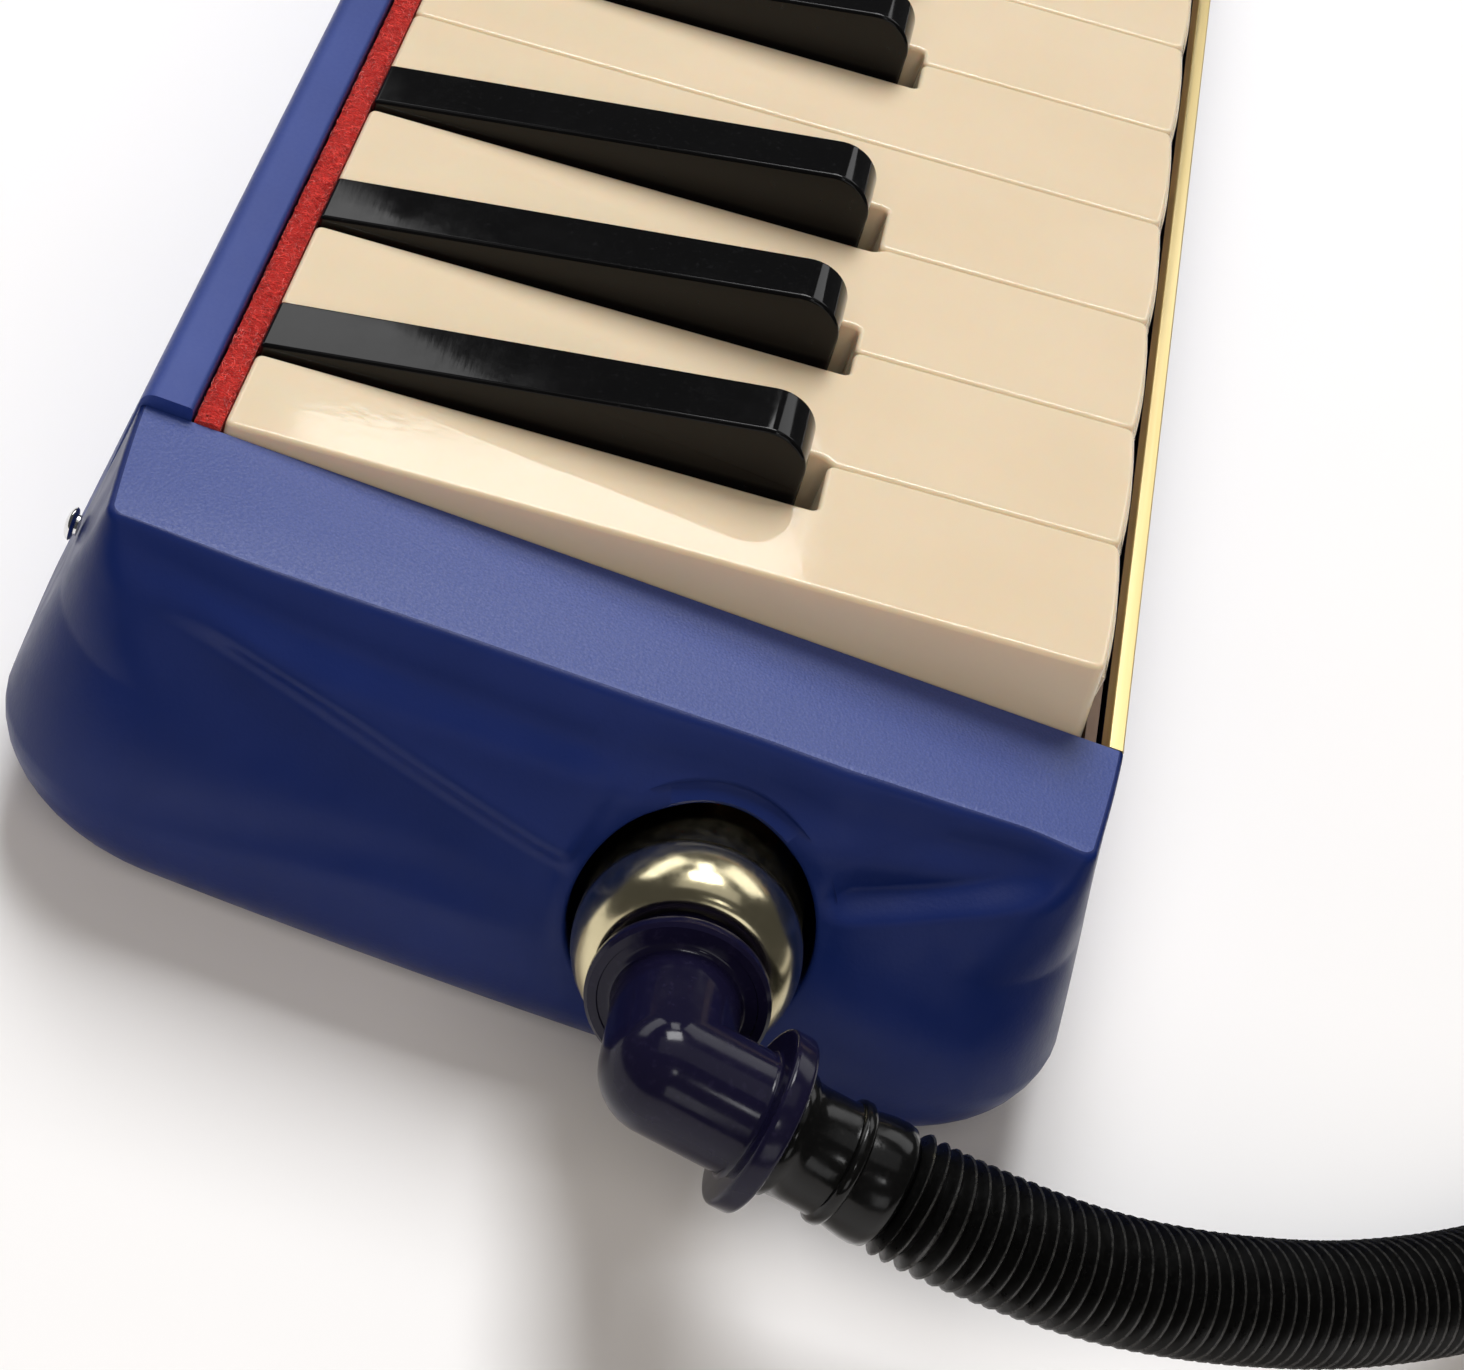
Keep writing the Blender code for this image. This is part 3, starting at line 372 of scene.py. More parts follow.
def make_materials():
    blue = (0.016, 0.040, 0.215)
    brushed = (0.02, 1.0, 1.0)
    nap = (1900, 4, 0.7, (1.0, 0.5, 1.0), 2.5)
    finishes = {
        # moulded blue of the caps' sculpted faces: fine leathery satin, its colour darkened to
        # about half as painted shade of the faces turned from the light
        "face": Finish("cap_blue_satin_painted_shade", (0.0052, 0.0160, 0.1060), 0.40, spec=0.19)
        .tint((90, 3), (0.3, (0.0046, 0.0148, 0.0990)), (0.7, (0.0058, 0.0172, 0.1130)))
        .rough((260, 3), 0.34, 0.43)
        .bump((2600, 2, 0.55), 0.00003, 0.55).bump((700, 2), 0.00004, 0.35),
        # the plain blue, not darkened, with the coarser spark grain of the flat top band
        "band": Finish("cap_blue_grain", blue, 0.55, spec=0.80)
        .tint((5200, 2), (0.35, (0.015, 0.039, 0.205)), (0.68, (0.022, 0.048, 0.240)))
        .rough((3000, 2), 0.50, 0.62)
        .bump((3200, CELLS), 0.000030, 0.9).bump((6000, 2, 0.6), 0.000016, 0.7),
        # painted sheet
        "cover": Finish("cover_blue_paint", (0.018, 0.042, 0.215), 0.50, 0.10)
        .tint((60, 3), (0.3, (0.016, 0.038, 0.200)), (0.7, (0.021, 0.047, 0.232)))
        .rough((2400, 2), 0.46, 0.54).bump((4200, 2), 0.000012, 0.35),
        # cream key plastic: glossy and a little translucent
        "ivory": Finish("ivory_key_plastic", (0.775, 0.640, 0.462), 0.16)
        .tint((45, 3), (0.3, (0.765, 0.628, 0.448)), (0.7, (0.790, 0.656, 0.478)))
        .rough((120, 4, 0.6), 0.035, 0.075)
        .bump((110, 2), 0.00004, 0.25).bump((900, 2), 0.00001, 0.3)
        .set(Subsurface_Weight=0.45, Subsurface_Radius=(1.0, 0.62, 0.40), Subsurface_Scale=0.0022),
        # black key plastic: glossy with faint handling marks and dust
        "ebony": Finish("ebony_key_plastic", (0.0030, 0.0030, 0.0033), 0.10, spec=0.24)
        .tint((1500, 2, 0.6), (0.60, (0.0028, 0.0028, 0.0031)), (0.80, (0.009, 0.009, 0.010)))
        .rough((150, 4, 0.65), 0.04, 0.11)
        .bump((95, 2), 0.00002, 0.2).bump((1400, 3, 0.6, (0.12, 1.0, 1.0)), 0.000006, 0.4),
        "gold": Finish("gold_trim_metal", (0.92, 0.73, 0.36), 0.34, 1.0)
        .tint((500, 3, 0.6, brushed), (0.3, (0.87, 0.67, 0.30)), (0.7, (0.96, 0.79, 0.42)))
        .rough((900, 3, 0.6, brushed), 0.30, 0.42)
        .bump((2500, 2, 0.5, (0.01, 1.0, 1.0)), 0.000008, 0.5),
        "brass": Finish("polished_brass", (0.66, 0.585, 0.375), 0.20, 1.0)
        .tint((220, 4, 0.6), (0.3, (0.635, 0.560, 0.355)), (0.7, (0.685, 0.610, 0.395)))
        .rough((700, 3, 0.6), 0.17, 0.24).bump((3000, 3, 0.6, (1.0, 1.0, 0.2)), 0.000005, 0.5),
        # red wool felt, and the loose fibres over it
        "felt": Finish("red_wool_felt", (0.66, 0.024, 0.020), 1.0, spec=0.15)
        .tint(nap, (0.30, (0.26, 0.006, 0.006)), (0.50, (0.50, 0.016, 0.014)),
              (0.75, (0.80, 0.045, 0.035)))
        .bump(nap, 0.00030, 0.9)
        .set(Sheen_Weight=0.5, Sheen_Roughness=0.4, Sheen_Tint=(1.0, 0.45, 0.40, 1.0)),
        "fibre": Finish("red_wool_fibre", (0.74, 0.035, 0.028), 0.85, spec=0.2)
        .tint((1500, 3), (0.40, (0.52, 0.014, 0.013)), (0.60, (0.93, 0.085, 0.065)))
        .set(Sheen_Weight=0.4),
        # dark indigo of the elbow: glossy with a few fine marks
        "navy": Finish("navy_elbow_plastic", (0.0068, 0.0058, 0.0215), 0.14, spec=0.24)
        .tint((1100, 2, 0.6), (0.58, (0.0064, 0.0054, 0.0205)), (0.82, (0.014, 0.012, 0.034)))
        .rough((240, 4, 0.65), 0.10, 0.22)
        .bump((210, 2), 0.00003, 0.3).bump((2600, 2, 0.6), 0.000006, 0.4),
        # smooth black rubber of the cuff
        "rubber": Finish("black_cuff_rubber", grey(0.0030), 0.20, spec=0.30)
        .tint((2000, 2), (0.55, grey(0.0026)), (0.80, (0.0080, 0.0078, 0.0076)))
        .rough((320, 4, 0.6), 0.12, 0.24)
        .bump((380, 3), 0.00004, 0.4).bump((3000, 2), 0.00001, 0.4),
        # corrugated hose: a little dusty in its grooves; its crests get a lighter grey further
        # down, a painted highlight
        "hose": Finish("black_hose_plastic", grey(0.0026), 0.38, spec=0.24)
        .tint((2400, 3, 0.65), (0.55, grey(0.0024)), (0.85, grey(0.010)))
        .rough((700, 3, 0.6), 0.26, 0.42).bump((2600, 2), 0.000015, 0.5),
        # crest finish: its lighter grey paints in the highlight along each ridge top
        "ridge": Finish("black_hose_ridge_painted_highlight", grey(0.022), 0.20)
        .tint((1600, 3, 0.65), (0.35, grey(0.012)), (0.75, (0.050, 0.050, 0.048)))
        .rough((900, 3, 0.6), 0.14, 0.30).bump((2600, 2), 0.000010, 0.4),
        "case": plain_finish("case_blue_plastic", blue, 0.45),
        "brown": plain_finish("brown_chassis", (0.150, 0.095, 0.066), 0.45),
        "chest": plain_finish("charcoal_plastic", (0.022, 0.022, 0.025), 0.5),
        "steel": plain_finish("spring_steel_finish", (0.56, 0.56, 0.57), 0.28, 1.0),
        "chrome": plain_finish("bright_pin_metal", grey(0.72), 0.12, 1.0, 2500, 0.000005),
    }
    return {key: fin.mat for key, fin in finishes.items()}


# ---- end caps ----
FACE_COLUMNS = 200
CORNER_COLUMNS = 12
WALL_COLUMNS = 8
FACE_ROWS = 80
FOOT_ROWS = 12


def foot_inset(radius, z):
    """How far a rounded foot has drawn in at height z."""
    return radius - sqrt(radius ** 2 - (radius - z) ** 2)


def wall_half(z, top_half):
    """Distance of a long wall from the middle plane at height z."""
    if z >= BOTTOM_RADIUS:
        share = (BODY_TOP - z) / (BODY_TOP - BOTTOM_RADIUS)
        return top_half + (WIDEST_HALF - top_half) * share ** 1.1
    return WIDEST_HALF - foot_inset(BOTTOM_RADIUS, z)


def end_reach(z):
    """How far the end face stands out from the inner edge of the cap."""
    if z >= END_FOOT:
        share = (BODY_TOP - z) / (BODY_TOP - END_FOOT)
        return BAND_WIDTH + END_BULGE * (1 - (1 - share) ** 1.9)
    return BAND_WIDTH + END_BULGE - foot_inset(END_FOOT, z)


def rear_crest(y):
    """Height of the ridge that runs from the hole up to the rear corner."""
    return 0.0243 + 0.205 * y


def front_fold(y):
    """Height of the fold that runs from the hole up to the front corner."""
    return 0.0270 - 0.342 * (y + 0.0240)


def sculpt(y, z):
    """How far the end face stands out of its plain form at a place."""
    away = hypot(y - JOINT_POINT.y, z - 0.0218)
    clear = smoothstep(0.0122, 0.0142, away)
    high = 0.0
    # a shallow hollow runs under the sharp top edge
    valley = BODY_TOP - 0.0017 - 0.0022 * (1 - (y / 0.050) ** 2)
    ends = smoothstep(0.051, 0.040, abs(y))
    high -= 0.00060 * bell(z - valley, 0.0012) * ends
    high += 0.00040 * bell(z - valley + 0.0024, 0.0014) * ends
    # rear ridge with the step under it
    fade = smoothstep(0.048, 0.030, y) * smoothstep(-0.0065, -0.0020, y) * clear
    below = rear_crest(y) - z
    step = smoothstep(-0.0016, 0.0020, below)
    high += 0.00120 * exp(min(below + 0.0016, 0.0) / 0.0040) * (1 - step) * fade
    high -= 0.00120 * step * exp(-max(below, 0.0) / 0.0080) * fade
    # front fold: the face sinks toward it from above and swells out under it
    fade = smoothstep(-0.0485, -0.0400, y) * smoothstep(-0.0235, -0.0280, y) * clear
    below = front_fold(y) - z
    if below < 0:
        high -= 0.00185 * exp(below / 0.0036) * fade
    else:
        high -= 0.00185 * (1 - smoothstep(0.0, 0.0020, below)) * fade
        high += 0.00055 * smoothstep(0.0, 0.0020, below) * exp(-below / 0.0070) * fade
    # low crease along the rear half
    fade = smoothstep(0.048, 0.034, y) * smoothstep(-0.006, 0.010, y)
    line = 0.0166 - 0.0046 * smoothstep(0.010, 0.046, y)
    high -= 0.00028 * bell(z - line - 0.0024, 0.0024) * fade
    high += 0.00022 * bell(z - line + 0.0010, 0.0016) * fade
    # the face dishes gently round the hole
    return high - 0.00050 * bell(away - 0.0122, 0.0028)


class Cap:
    """Outer skin of an end cap as a surface over (share along the face, height)."""

    def __init__(self, side):
        self.side = side

    def section(self, z, inset=0.0):
        """Reach, walls, corner radius and taper of the plan outline at a height."""
        reach = end_reach(z) - inset
        front = wall_half(z, TOP_HALF_FRONT) - inset
        rear = wall_half(z, TOP_HALF_REAR) - inset
        depth = min(1.0, (BODY_TOP - z) / 0.012)
        radius = 0.0012 + 0.0108 * depth + 0.0040 * (1 - z / BODY_TOP)
        return reach, front, rear, radius, 0.0014 * (1 - 0.6 * depth)

    def place(self, x, y, z, reach):
        bow = END_BOW * max(0.0, 1 - z / BODY_TOP) ** 0.5 / (WIDEST_HALF ** 2)
        x *= 1 - bow * (y - END_BOW_CENTRE) ** 2 / reach
        out = x / reach
        if out > 0.75:
            x += sculpt(y, z) * smoothstep(0.75, 1.0, out) * smoothstep(0.004, 0.010, z)
        return Vector((self.side * (CAP_EDGE + x), y, z))

    def span(self, z, inset=0.0):
        """Reach of the end face at a height, and where it starts and ends."""
        reach, front, rear, radius, taper = self.section(z, inset)
        return reach, -front + taper + radius, rear - taper - radius

    def face(self, share, z, inset=0.0):
        reach, low, high = self.span(z, inset)
        return self.place(reach, low + (high - low) * share, z, reach)

    def share_of(self, y, z):
        low, high = self.span(z)[1:]
        return (y - low) / (high - low)

    def row(self, z, inset=0.0):
        """All points of one level, front wall, corner, face, corner, rear wall."""
        reach, front, rear, radius, taper = self.section(z, inset)

        def wall(half, sign):
            """From the cap's inner edge along a long wall and round its corner."""
            shares = [step / WALL_COLUMNS for step in range(WALL_COLUMNS)]
            points = [((reach - radius) * s, sign * (half - taper * s ** 1.3)) for s in shares]
            points += arc((reach - radius, sign * (half - taper - radius)), radius, 90 * sign, 0,
                          CORNER_COLUMNS)
            return [self.place(x, y, z, reach) for x, y in points[:-1]]

        face = [self.face(step / FACE_COLUMNS, z, inset) for step in range(FACE_COLUMNS + 1)]
        return wall(front, -1) + face + wall(rear, 1)[::-1]


def cap_levels():
    """Heights and insets of the rows, from the top edge's round to the foot."""
    levels = []
    for step in range(4):
        angle = radians(90 * step / 3)
        levels.append((BODY_TOP - EDGE_ROUND * (1 - cos(angle)), EDGE_ROUND * (1 - sin(angle))))
    top = BODY_TOP - EDGE_ROUND
    for step in range(1, FACE_ROWS + 1):
        levels.append((top + (END_FOOT - top) * step / FACE_ROWS, 0.0))
    for step in range(1, FOOT_ROWS + 1):
        levels.append((END_FOOT * (1 - sin(radians(90 * step / FOOT_ROWS))), 0.0))
    return levels


def axis_distance(point, base, axis):
    across = point - base
    return (across - axis * across.dot(axis)).length


def patch_round_hole(bm, grid, levels, cap, base, axis, radius):
    """Fill the grid round a hole with rings that pass from the hole to the grid."""
    first = WALL_COLUMNS + CORNER_COLUMNS
    margin = radius + HOLE_MARGIN
    heights = [z for z, _ in levels]
    highest, lowest = base.z + margin + 0.0010, base.z - margin
    rows = [r for r, z in enumerate(heights) if highest > z > lowest]
    top, low = rows[0], rows[-1]
    middle_row = heights[(top + low) // 2]
    left = first + round(cap.share_of(base.y - margin, middle_row) * FACE_COLUMNS)
    right = first + round(cap.share_of(base.y + margin, middle_row) * FACE_COLUMNS)
    border = [(top, c) for c in range(left, right)] + [(r, right) for r in range(top, low)]
    border += [(low, c) for c in range(right, left, -1)]
    border += [(r, left) for r in range(low, top, -1)]
    centre_z = min(heights[top:low], key=lambda z: axis_distance(
        cap.face(cap.share_of(base.y, z), z), base, axis))
    centre = Vector((cap.share_of(base.y, centre_z), centre_z))
    rings = [[] for _ in range(9)]
    for r, c in border:
        edge = Vector(((c - first) / FACE_COLUMNS, heights[r]))
        near, far = 0.0, 1.0
        for _ in range(26):
            half = (near + far) / 2
            at = centre.lerp(edge, half)
            if axis_distance(cap.face(at.x, at.y), base, axis) < radius + HOLE_LIP:
                near = half
            else:
                far = half
        for index in range(5):
            at = centre.lerp(edge, far + (1 - far) * (1 - index / 5))
            if index == 0:
                rings[0].append(grid[r][c])
            else:
                rings[index].append(bm.verts.new(cap.face(at.x, at.y)))
        at = centre.lerp(edge, far)
        start = cap.face(at.x, at.y)
        out = start - base
        out = (out - axis * out.dot(axis)).normalized()
        for index, turn in enumerate((0, 35, 65, 90)):
            angle = radians(turn)
            inward = out * sin(angle) + axis * (1 - cos(angle))
            rings[5 + index].append(bm.verts.new(start - inward * HOLE_LIP))
    rings.append(add_points(bm, [v.co - axis * HOLE_DEPTH for v in rings[-1]]))
    bridge(bm, rings)
    return top, low, left, right


def make_cap(name, side, hole, mats):
    base, axis, radius = hole
    cap = Cap(side)
    levels = cap_levels()
    bm = bmesh.new()
    grid = [add_points(bm, cap.row(z, inset)) for z, inset in levels]
    top, low, left, right = patch_round_hole(bm, grid, levels, cap, base, axis, radius)
    for r in range(len(grid) - 1):
        for c in range(len(grid[0]) - 1):
            if not (top <= r < low and left <= c < right):
                bm.faces.new((grid[r][c], grid[r][c + 1], grid[r + 1][c + 1], grid[r + 1][c]))
    lid = bm.faces.new(grid[0])
    bm.faces.new(grid[-1])
    inside = [v for r in range(top + 1, low) for v in grid[r][left + 1:right]]
    bmesh.ops.delete(bm, geom=inside, context="VERTS")
    outward(bm)
    if lid.normal.z < 0:
        bmesh.ops.reverse_faces(bm, faces=bm.faces)
    # the sculpted faces take the blue darkened as painted shade; the lid takes the plain grained
    # blue
    lid.material_index = 1
    obj = add_piece(name, bm, 50.0, mats["face"], "body", "blue_plastic",
                    "left_end_cap" if side < 0 else "right_end_cap")
    obj.data.materials.append(mats["band"])
    thicken(obj, CAP_WALL)


def make_caps(mats):
    make_cap("bass_cap_moulding", -1, (JOINT_POINT, JOINT_AXIS, HOLE_RADIUS), mats)
    make_cap("treble_cap_moulding", 1, (DRAIN_FACE, Vector((1, 0, 0)), DRAIN_RADIUS + CLEAR), mats)


# ---- long shells ----
def sheet(outline, ends=False):
    """A sheet with a (y, z) section over the case's whole length, its ends shut if asked."""
    bm = bmesh.new()
    rows = rails(bm, outline, -STRIP_HALF, STRIP_HALF)
    bridge(bm, rows, tube=False)
    if ends:
        bm.faces.new(rows[0][::-1])
        bm.faces.new(rows[-1])
    return bm


def thicken(obj, thickness, round_off=0.0):
    """Give a skin a wall on its inner side and, if asked, round its edges."""
    shell = obj.modifiers.new("wall", "SOLIDIFY")
    shell.thickness = thickness
    shell.offset = -1.0
    if not round_off:
        return
    shell.use_even_offset = True
    edge = obj.modifiers.new("edge", "BEVEL")
    edge.width = round_off
    edge.segments = 2
    edge.limit_method = "ANGLE"
    edge.angle_limit = radians(50)


def make_case(mats):
    """Tray under the keys: walls, rounded edges and floor."""
    levels = [BOTTOM_RADIUS * (1 - cos(radians(90 * s / 10))) for s in range(11)]
    front_top, rear_top = CASE_HIGH.z, 0.0258
    walls = [1.0, 0.75, 0.5, 0.25]
    front = [BOTTOM_RADIUS + (front_top - BOTTOM_RADIUS) * s for s in walls]
    rear = [BOTTOM_RADIUS + (rear_top - BOTTOM_RADIUS) * s for s in walls]
    outline = [(-wall_half(z, TOP_HALF_FRONT), z) for z in front + levels[::-1]]
    outline += [(wall_half(z, TOP_HALF_REAR), z) for z in levels + rear[::-1]]
    tray = add_piece("case_tray", sheet(outline), 50.0, mats["case"], "body", "blue_plastic",
                     "bottom_case")
    thicken(tray, CASE_WALL, 0.0003)


def make_cover(mats):
    """Folded metal strip behind the keys."""
    front, top, bend = COVER_LOW.y, COVER_HIGH.z, 0.0015
    outline = [(front, 0.0352), (front, top - 0.0005), (front + 0.00015, top - 0.00012),
               (front + 0.0005, top), *arc((front + 0.0037, top - bend), bend, 90, 10, 8),
               (wall_half(COVER_LOW.z, TOP_HALF_REAR), COVER_LOW.z)]
    strip = add_piece("cover_sheet", sheet(outline[::-1], ends=True), 50.0, mats["cover"], "body",
                      "blue_metal", "top_cover")
    thicken(strip, COVER_WALL, 0.00015)


def make_trim(mats):
    """Gold strip with a rounded crown."""
    low, high = TRIM_LOW, TRIM_HIGH
    crown = 0.00025
    outline = [(low.y, low.z), *arc((low.y + crown, high.z - crown), crown, 180, 90, 5),
               *arc((high.y - crown, high.z - crown), crown, 90, 0, 5), (high.y, low.z)]
    bm = bmesh.new()
    rings = rails(bm, outline, low.x, high.x)
    bridge(bm, rings)
    for ring in rings:
        bm.faces.new(ring)
    outward(bm)
    add_piece("gold_trim_strip", bm, 40.0, mats["gold"], "body", "gold_metal", "front_trim")


def make_felt(mats):
    """Felt strip with a lumpy nap, and loose wool fibres over it."""
    low, high = FELT_LOW - Vector((0, FELT_PUFF, 0)), FELT_HIGH
    rng = random.Random(11)
    columns = 900
    across = 7
    bm = bmesh.new()
    rows = []
    for c in range(columns + 1):
        outline = [(low.y, low.z)]
        for a in range(across + 1):
            dome = FELT_DOME * (1 - (2 * a / across - 1) ** 2)
            outline.append((low.y + (high.y - low.y) * a / across,
                            high.z - 0.00042 + dome + rng.uniform(-FELT_LUMPS, FELT_LUMPS)))
        outline.append((high.y, low.z))
        rows += rails(bm, outline, low.x + (high.x - low.x) * c / columns)
    bridge(bm, rows)
    bm.faces.new(rows[0])
    bm.faces.new(rows[-1])
    outward(bm)
    add_piece("felt_strip_body", bm, 60.0, mats["felt"], "body", "red_felt", "key_felt_strip")
    bm = bmesh.new()
    for _ in range(FELT_FIBRES):
        start = Vector((rng.uniform(low.x, high.x), rng.uniform(low.y + 0.0001, high.y - 0.0001),
                        high.z - 0.00030))
        heading = pi / 2 + rng.gauss(0.0, 0.75) + pi * rng.randrange(2)
        curl = rng.uniform(-1.6, 1.6)
        length, lift = rng.uniform(0.0008, 0.0020), rng.uniform(0.15, 0.60)
        add_fibre(bm, start, heading, curl, length, lift, low, high)
    add_piece("felt_strip_fibres", bm, 180.0, mats["fibre"], "body", "red_felt")


def add_fibre(bm, start, heading, curl, length, lift, low, high):
    """A thin curved strand with three sides that rises, curls and comes down."""
    steps = 4
    at = start.copy()
    rings = []
    for step in range(steps + 1):
        share = step / steps
        angle = heading + curl * share
        forward = Vector((cos(angle), sin(angle), 0))
        side = Vector((-forward.y, forward.x, 0))
        radius = FIBRE_RADIUS * (1 - 0.7 * share)
        rise = lift * FIBRE_HEIGHT * sin(pi * min(1.0, share * 1.1))
        here = Vector((min(max(at.x, low.x), high.x), min(max(at.y, low.y), high.y),
                       start.z + rise))
        rings.append(add_points(bm, [here + side * radius, here - side * radius,
                                     here + Vector((0, 0, radius * 1.6))]))
        at += forward * length / steps
    bridge(bm, rings)
    bm.faces.new(rings[0][::-1])
    bm.faces.new(rings[-1])


# ---- keys ----
def white_top(y):
    return WHITE_TOP_FRONT - WHITE_TOP_SLOPE * (y - WHITE_FRONT)


def rounded_outline(corners):
    """Round the corners of a plan outline; each corner is (x, y, radius)."""
    points = []
    count = len(corners)
    for index, (x, y, radius) in enumerate(corners):
        here = Vector((x, y))
        if radius == 0:
            points.append((x, y))
            continue
        before = Vector(corners[index - 1][:2]) - here
        after = Vector(corners[(index + 1) % count][:2]) - here
        start = here + before.normalized() * radius
        end = here + after.normalized() * radius
        for step in range(5):
            t = step / 4
            points.append(tuple(start * (1 - t) ** 2 + here * 2 * t * (1 - t) + end * t * t))
    return points


def white_corners(left, right, neck_left, neck_right):
    """Corners of a white key's plan, counter-clockwise from its front left."""
    corners = [(left, WHITE_FRONT, 0.0011)]
    for step in range(1, 8):
        share = step / 8
        crown = WHITE_FRONT_CROWN * 4 * share * (1 - share)
        corners.append((left + (right - left) * share, WHITE_FRONT - crown, 0))
    corners.append((right, WHITE_FRONT, 0.0011))
    if neck_right < right - 0.0001:
        corners += notch(right, neck_right)
    corners += [(neck_right, KEY_REAR, 0.0009), (neck_left, KEY_REAR, 0.0009)]
    if neck_left > left + 0.0001:
        corners += notch(left, neck_left)[::-1]
    return corners


def notch(side, neck):
    """Two corners where a key narrows beside a black key; a slant if it is shallow."""
    if abs(side - neck) < 0.0020:
        return [(side, WHITE_SLOT - 0.0007, 0.0005), (neck, WHITE_SLOT + 0.0007, 0.0005)]
    return [(side, WHITE_SLOT, 0.0009), (neck, WHITE_SLOT, 0.0009)]


def raise_key(outline):
    """Extrude a plan outline to a sloping top with rounded rim, hollow below."""
    bm = bmesh.new()
    base = bm.faces.new([bm.verts.new((x, y, KEY_SKIRT)) for x, y in outline])
    if base.normal.z > 0:
        base.normal_flip()
    raised = bmesh.ops.extrude_face_region(bm, geom=[base], use_keep_orig=True)
    for vert in [g for g in raised["geom"] if isinstance(g, bmesh.types.BMVert)]:
        vert.co.z = white_top(vert.co.y)
        vert.co.y += white_lean(vert.co)
    outward(bm)
    bm.faces.ensure_lookup_table()
    bottom = min(bm.faces, key=lambda f: f.calc_center_median().z)
    bmesh.ops.inset_region(bm, faces=[bottom], thickness=KEY_WALL, use_even_offset=True)
    hollow = bmesh.ops.extrude_discrete_faces(bm, faces=[bottom])["faces"][0]
    for vert in hollow.verts:
        vert.co.z = white_top(vert.co.y) - KEY_ROOF
    bm.faces.ensure_lookup_table()
    roof = max((f for f in bm.faces if f.normal.z > 0.9), key=lambda f: f.calc_center_median().z)
    bmesh.ops.bevel(bm, geom=list(roof.edges), offset=WHITE_EDGE, segments=4, profile=0.5,
                    affect="EDGES", clamp_overlap=False)
    return bm


def white_lean(co):
    if co.y >= WHITE_SLOT:
        return 0.0
    lean = (co.z - KEY_SKIRT) * WHITE_FRONT_LEAN
    return lean * (WHITE_SLOT - co.y) / (WHITE_SLOT - WHITE_FRONT)


def add_lever(bm, centre):
    """Web under the key top that holds the bore and the pad tail."""
    half = 0.0020
    outline = [(0.0120, white_top(0.0120) - 0.0010), (0.0120, 0.0352), (0.0225, 0.0305),
               (0.0245, 0.0266), (0.0315, 0.0266), (0.0402, 0.0285), (0.0402, 0.0238),
               (0.0468, 0.0238), (0.0468, 0.0320), (0.0420, 0.0320),
               (0.0420, white_top(0.0420) - 0.0010)]
    sides = rails(bm, outline, centre - half, centre + half)
    walls = bridge(bm, sides)
    bmesh.ops.recalc_face_normals(bm, faces=walls + [bm.faces.new(side) for side in sides])


def even_normals(obj):
    fix = obj.modifiers.new("even_normals", "WEIGHTED_NORMAL")
    fix.keep_sharp = True
    fix.weight = 60


def make_white_keys(mats, whites, blacks):
    for name in whites:
        low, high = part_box(name)
        left, right = low.x - WHITE_SPREAD, high.x + WHITE_SPREAD
        if name == whites[0]:
            left = low.x
        if name == whites[-1]:
            right = high.x
        necks = [left, right]
        for black in blacks:
            black_low, black_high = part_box(black)
            if low.x < black_high.x < high.x:
                necks[0] = black_high.x + BLACK_GAP
            if low.x < black_low.x < high.x:
                necks[1] = black_low.x - BLACK_GAP
        bm = raise_key(rounded_outline(white_corners(left, right, *necks)))
        add_lever(bm, sum(necks) / 2)
        note = name.removeprefix("white_key_")
        even_normals(add_piece("ivory_key_" + note, bm, 45.0, mats["ivory"], "key_" + note,
                               "ivory_plastic", name))


def black_side():
    """Side view of a black key, front foot, rounded nose, sloping top."""
    slope = atan(BLACK_TOP_SLOPE)
    nose = BLACK_NOSE_RADIUS
    centre_y = BLACK_FRONT + 0.0008 + nose
    top_at_centre = BLACK_TOP_REAR + BLACK_TOP_SLOPE * (KEY_REAR - centre_y)
    centre_z = top_at_centre - nose / cos(slope)
    outline = [(BLACK_FRONT, KEY_SKIRT)]
    outline += arc((centre_y, centre_z), nose, 180, 90 - degrees(slope), 16)
    outline += [(KEY_REAR, BLACK_TOP_REAR), (KEY_REAR, KEY_SKIRT)]
    return outline, centre_z + nose


def make_black_keys(mats, blacks):
    outline, peak = black_side()
    for name in blacks:
        low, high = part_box(name)
        middle = (low.x + high.x) / 2
        bm = bmesh.new()
        sides = []
        for side in (-1, 1):
            points = []
            for y, z in outline:
                share = (z - KEY_SKIRT) / (peak - KEY_SKIRT)
                half = (BLACK_WIDTH - (BLACK_WIDTH - BLACK_TOP_WIDTH) * share) / 2
                points.append((middle + side * half, y, z))
            sides.append(add_points(bm, points))
        bridge(bm, sides)
        lids = [bm.faces.new(sides[0]), bm.faces.new(sides[1])]
        outward(bm)
        foot = KEY_SKIRT + 0.0005
        rim = {e for lid in lids for e in lid.edges if max(v.co.z for v in e.verts) > foot}
        rim |= {e for e in bm.edges
                if all(v.co.z > foot and v.co.y > KEY_REAR - 1e-5 for v in e.verts)}
        bmesh.ops.bevel(bm, geom=list(rim), offset=BLACK_EDGE, segments=3, profile=0.5,
                        affect="EDGES", clamp_overlap=False)
        add_lever(bm, middle)
        note = name.removeprefix("black_key_")
        even_normals(add_piece("ebony_key_" + note, bm, 40.0, mats["ebony"], "key_" + note,
                               "ebony_plastic", name))


# ---- blow joint, elbow, hose, mouthpiece ----
def hose_direction():
    """Out of the elbow: toward the player, drooping a little."""
    down = JOINT_AXIS.cross(Vector((0, -1, 0)))
    if down.z > 0:
        down.negate()
    return Vector((0, -1, 0)) * cos(ELBOW_DROOP) + down * sin(ELBOW_DROOP)


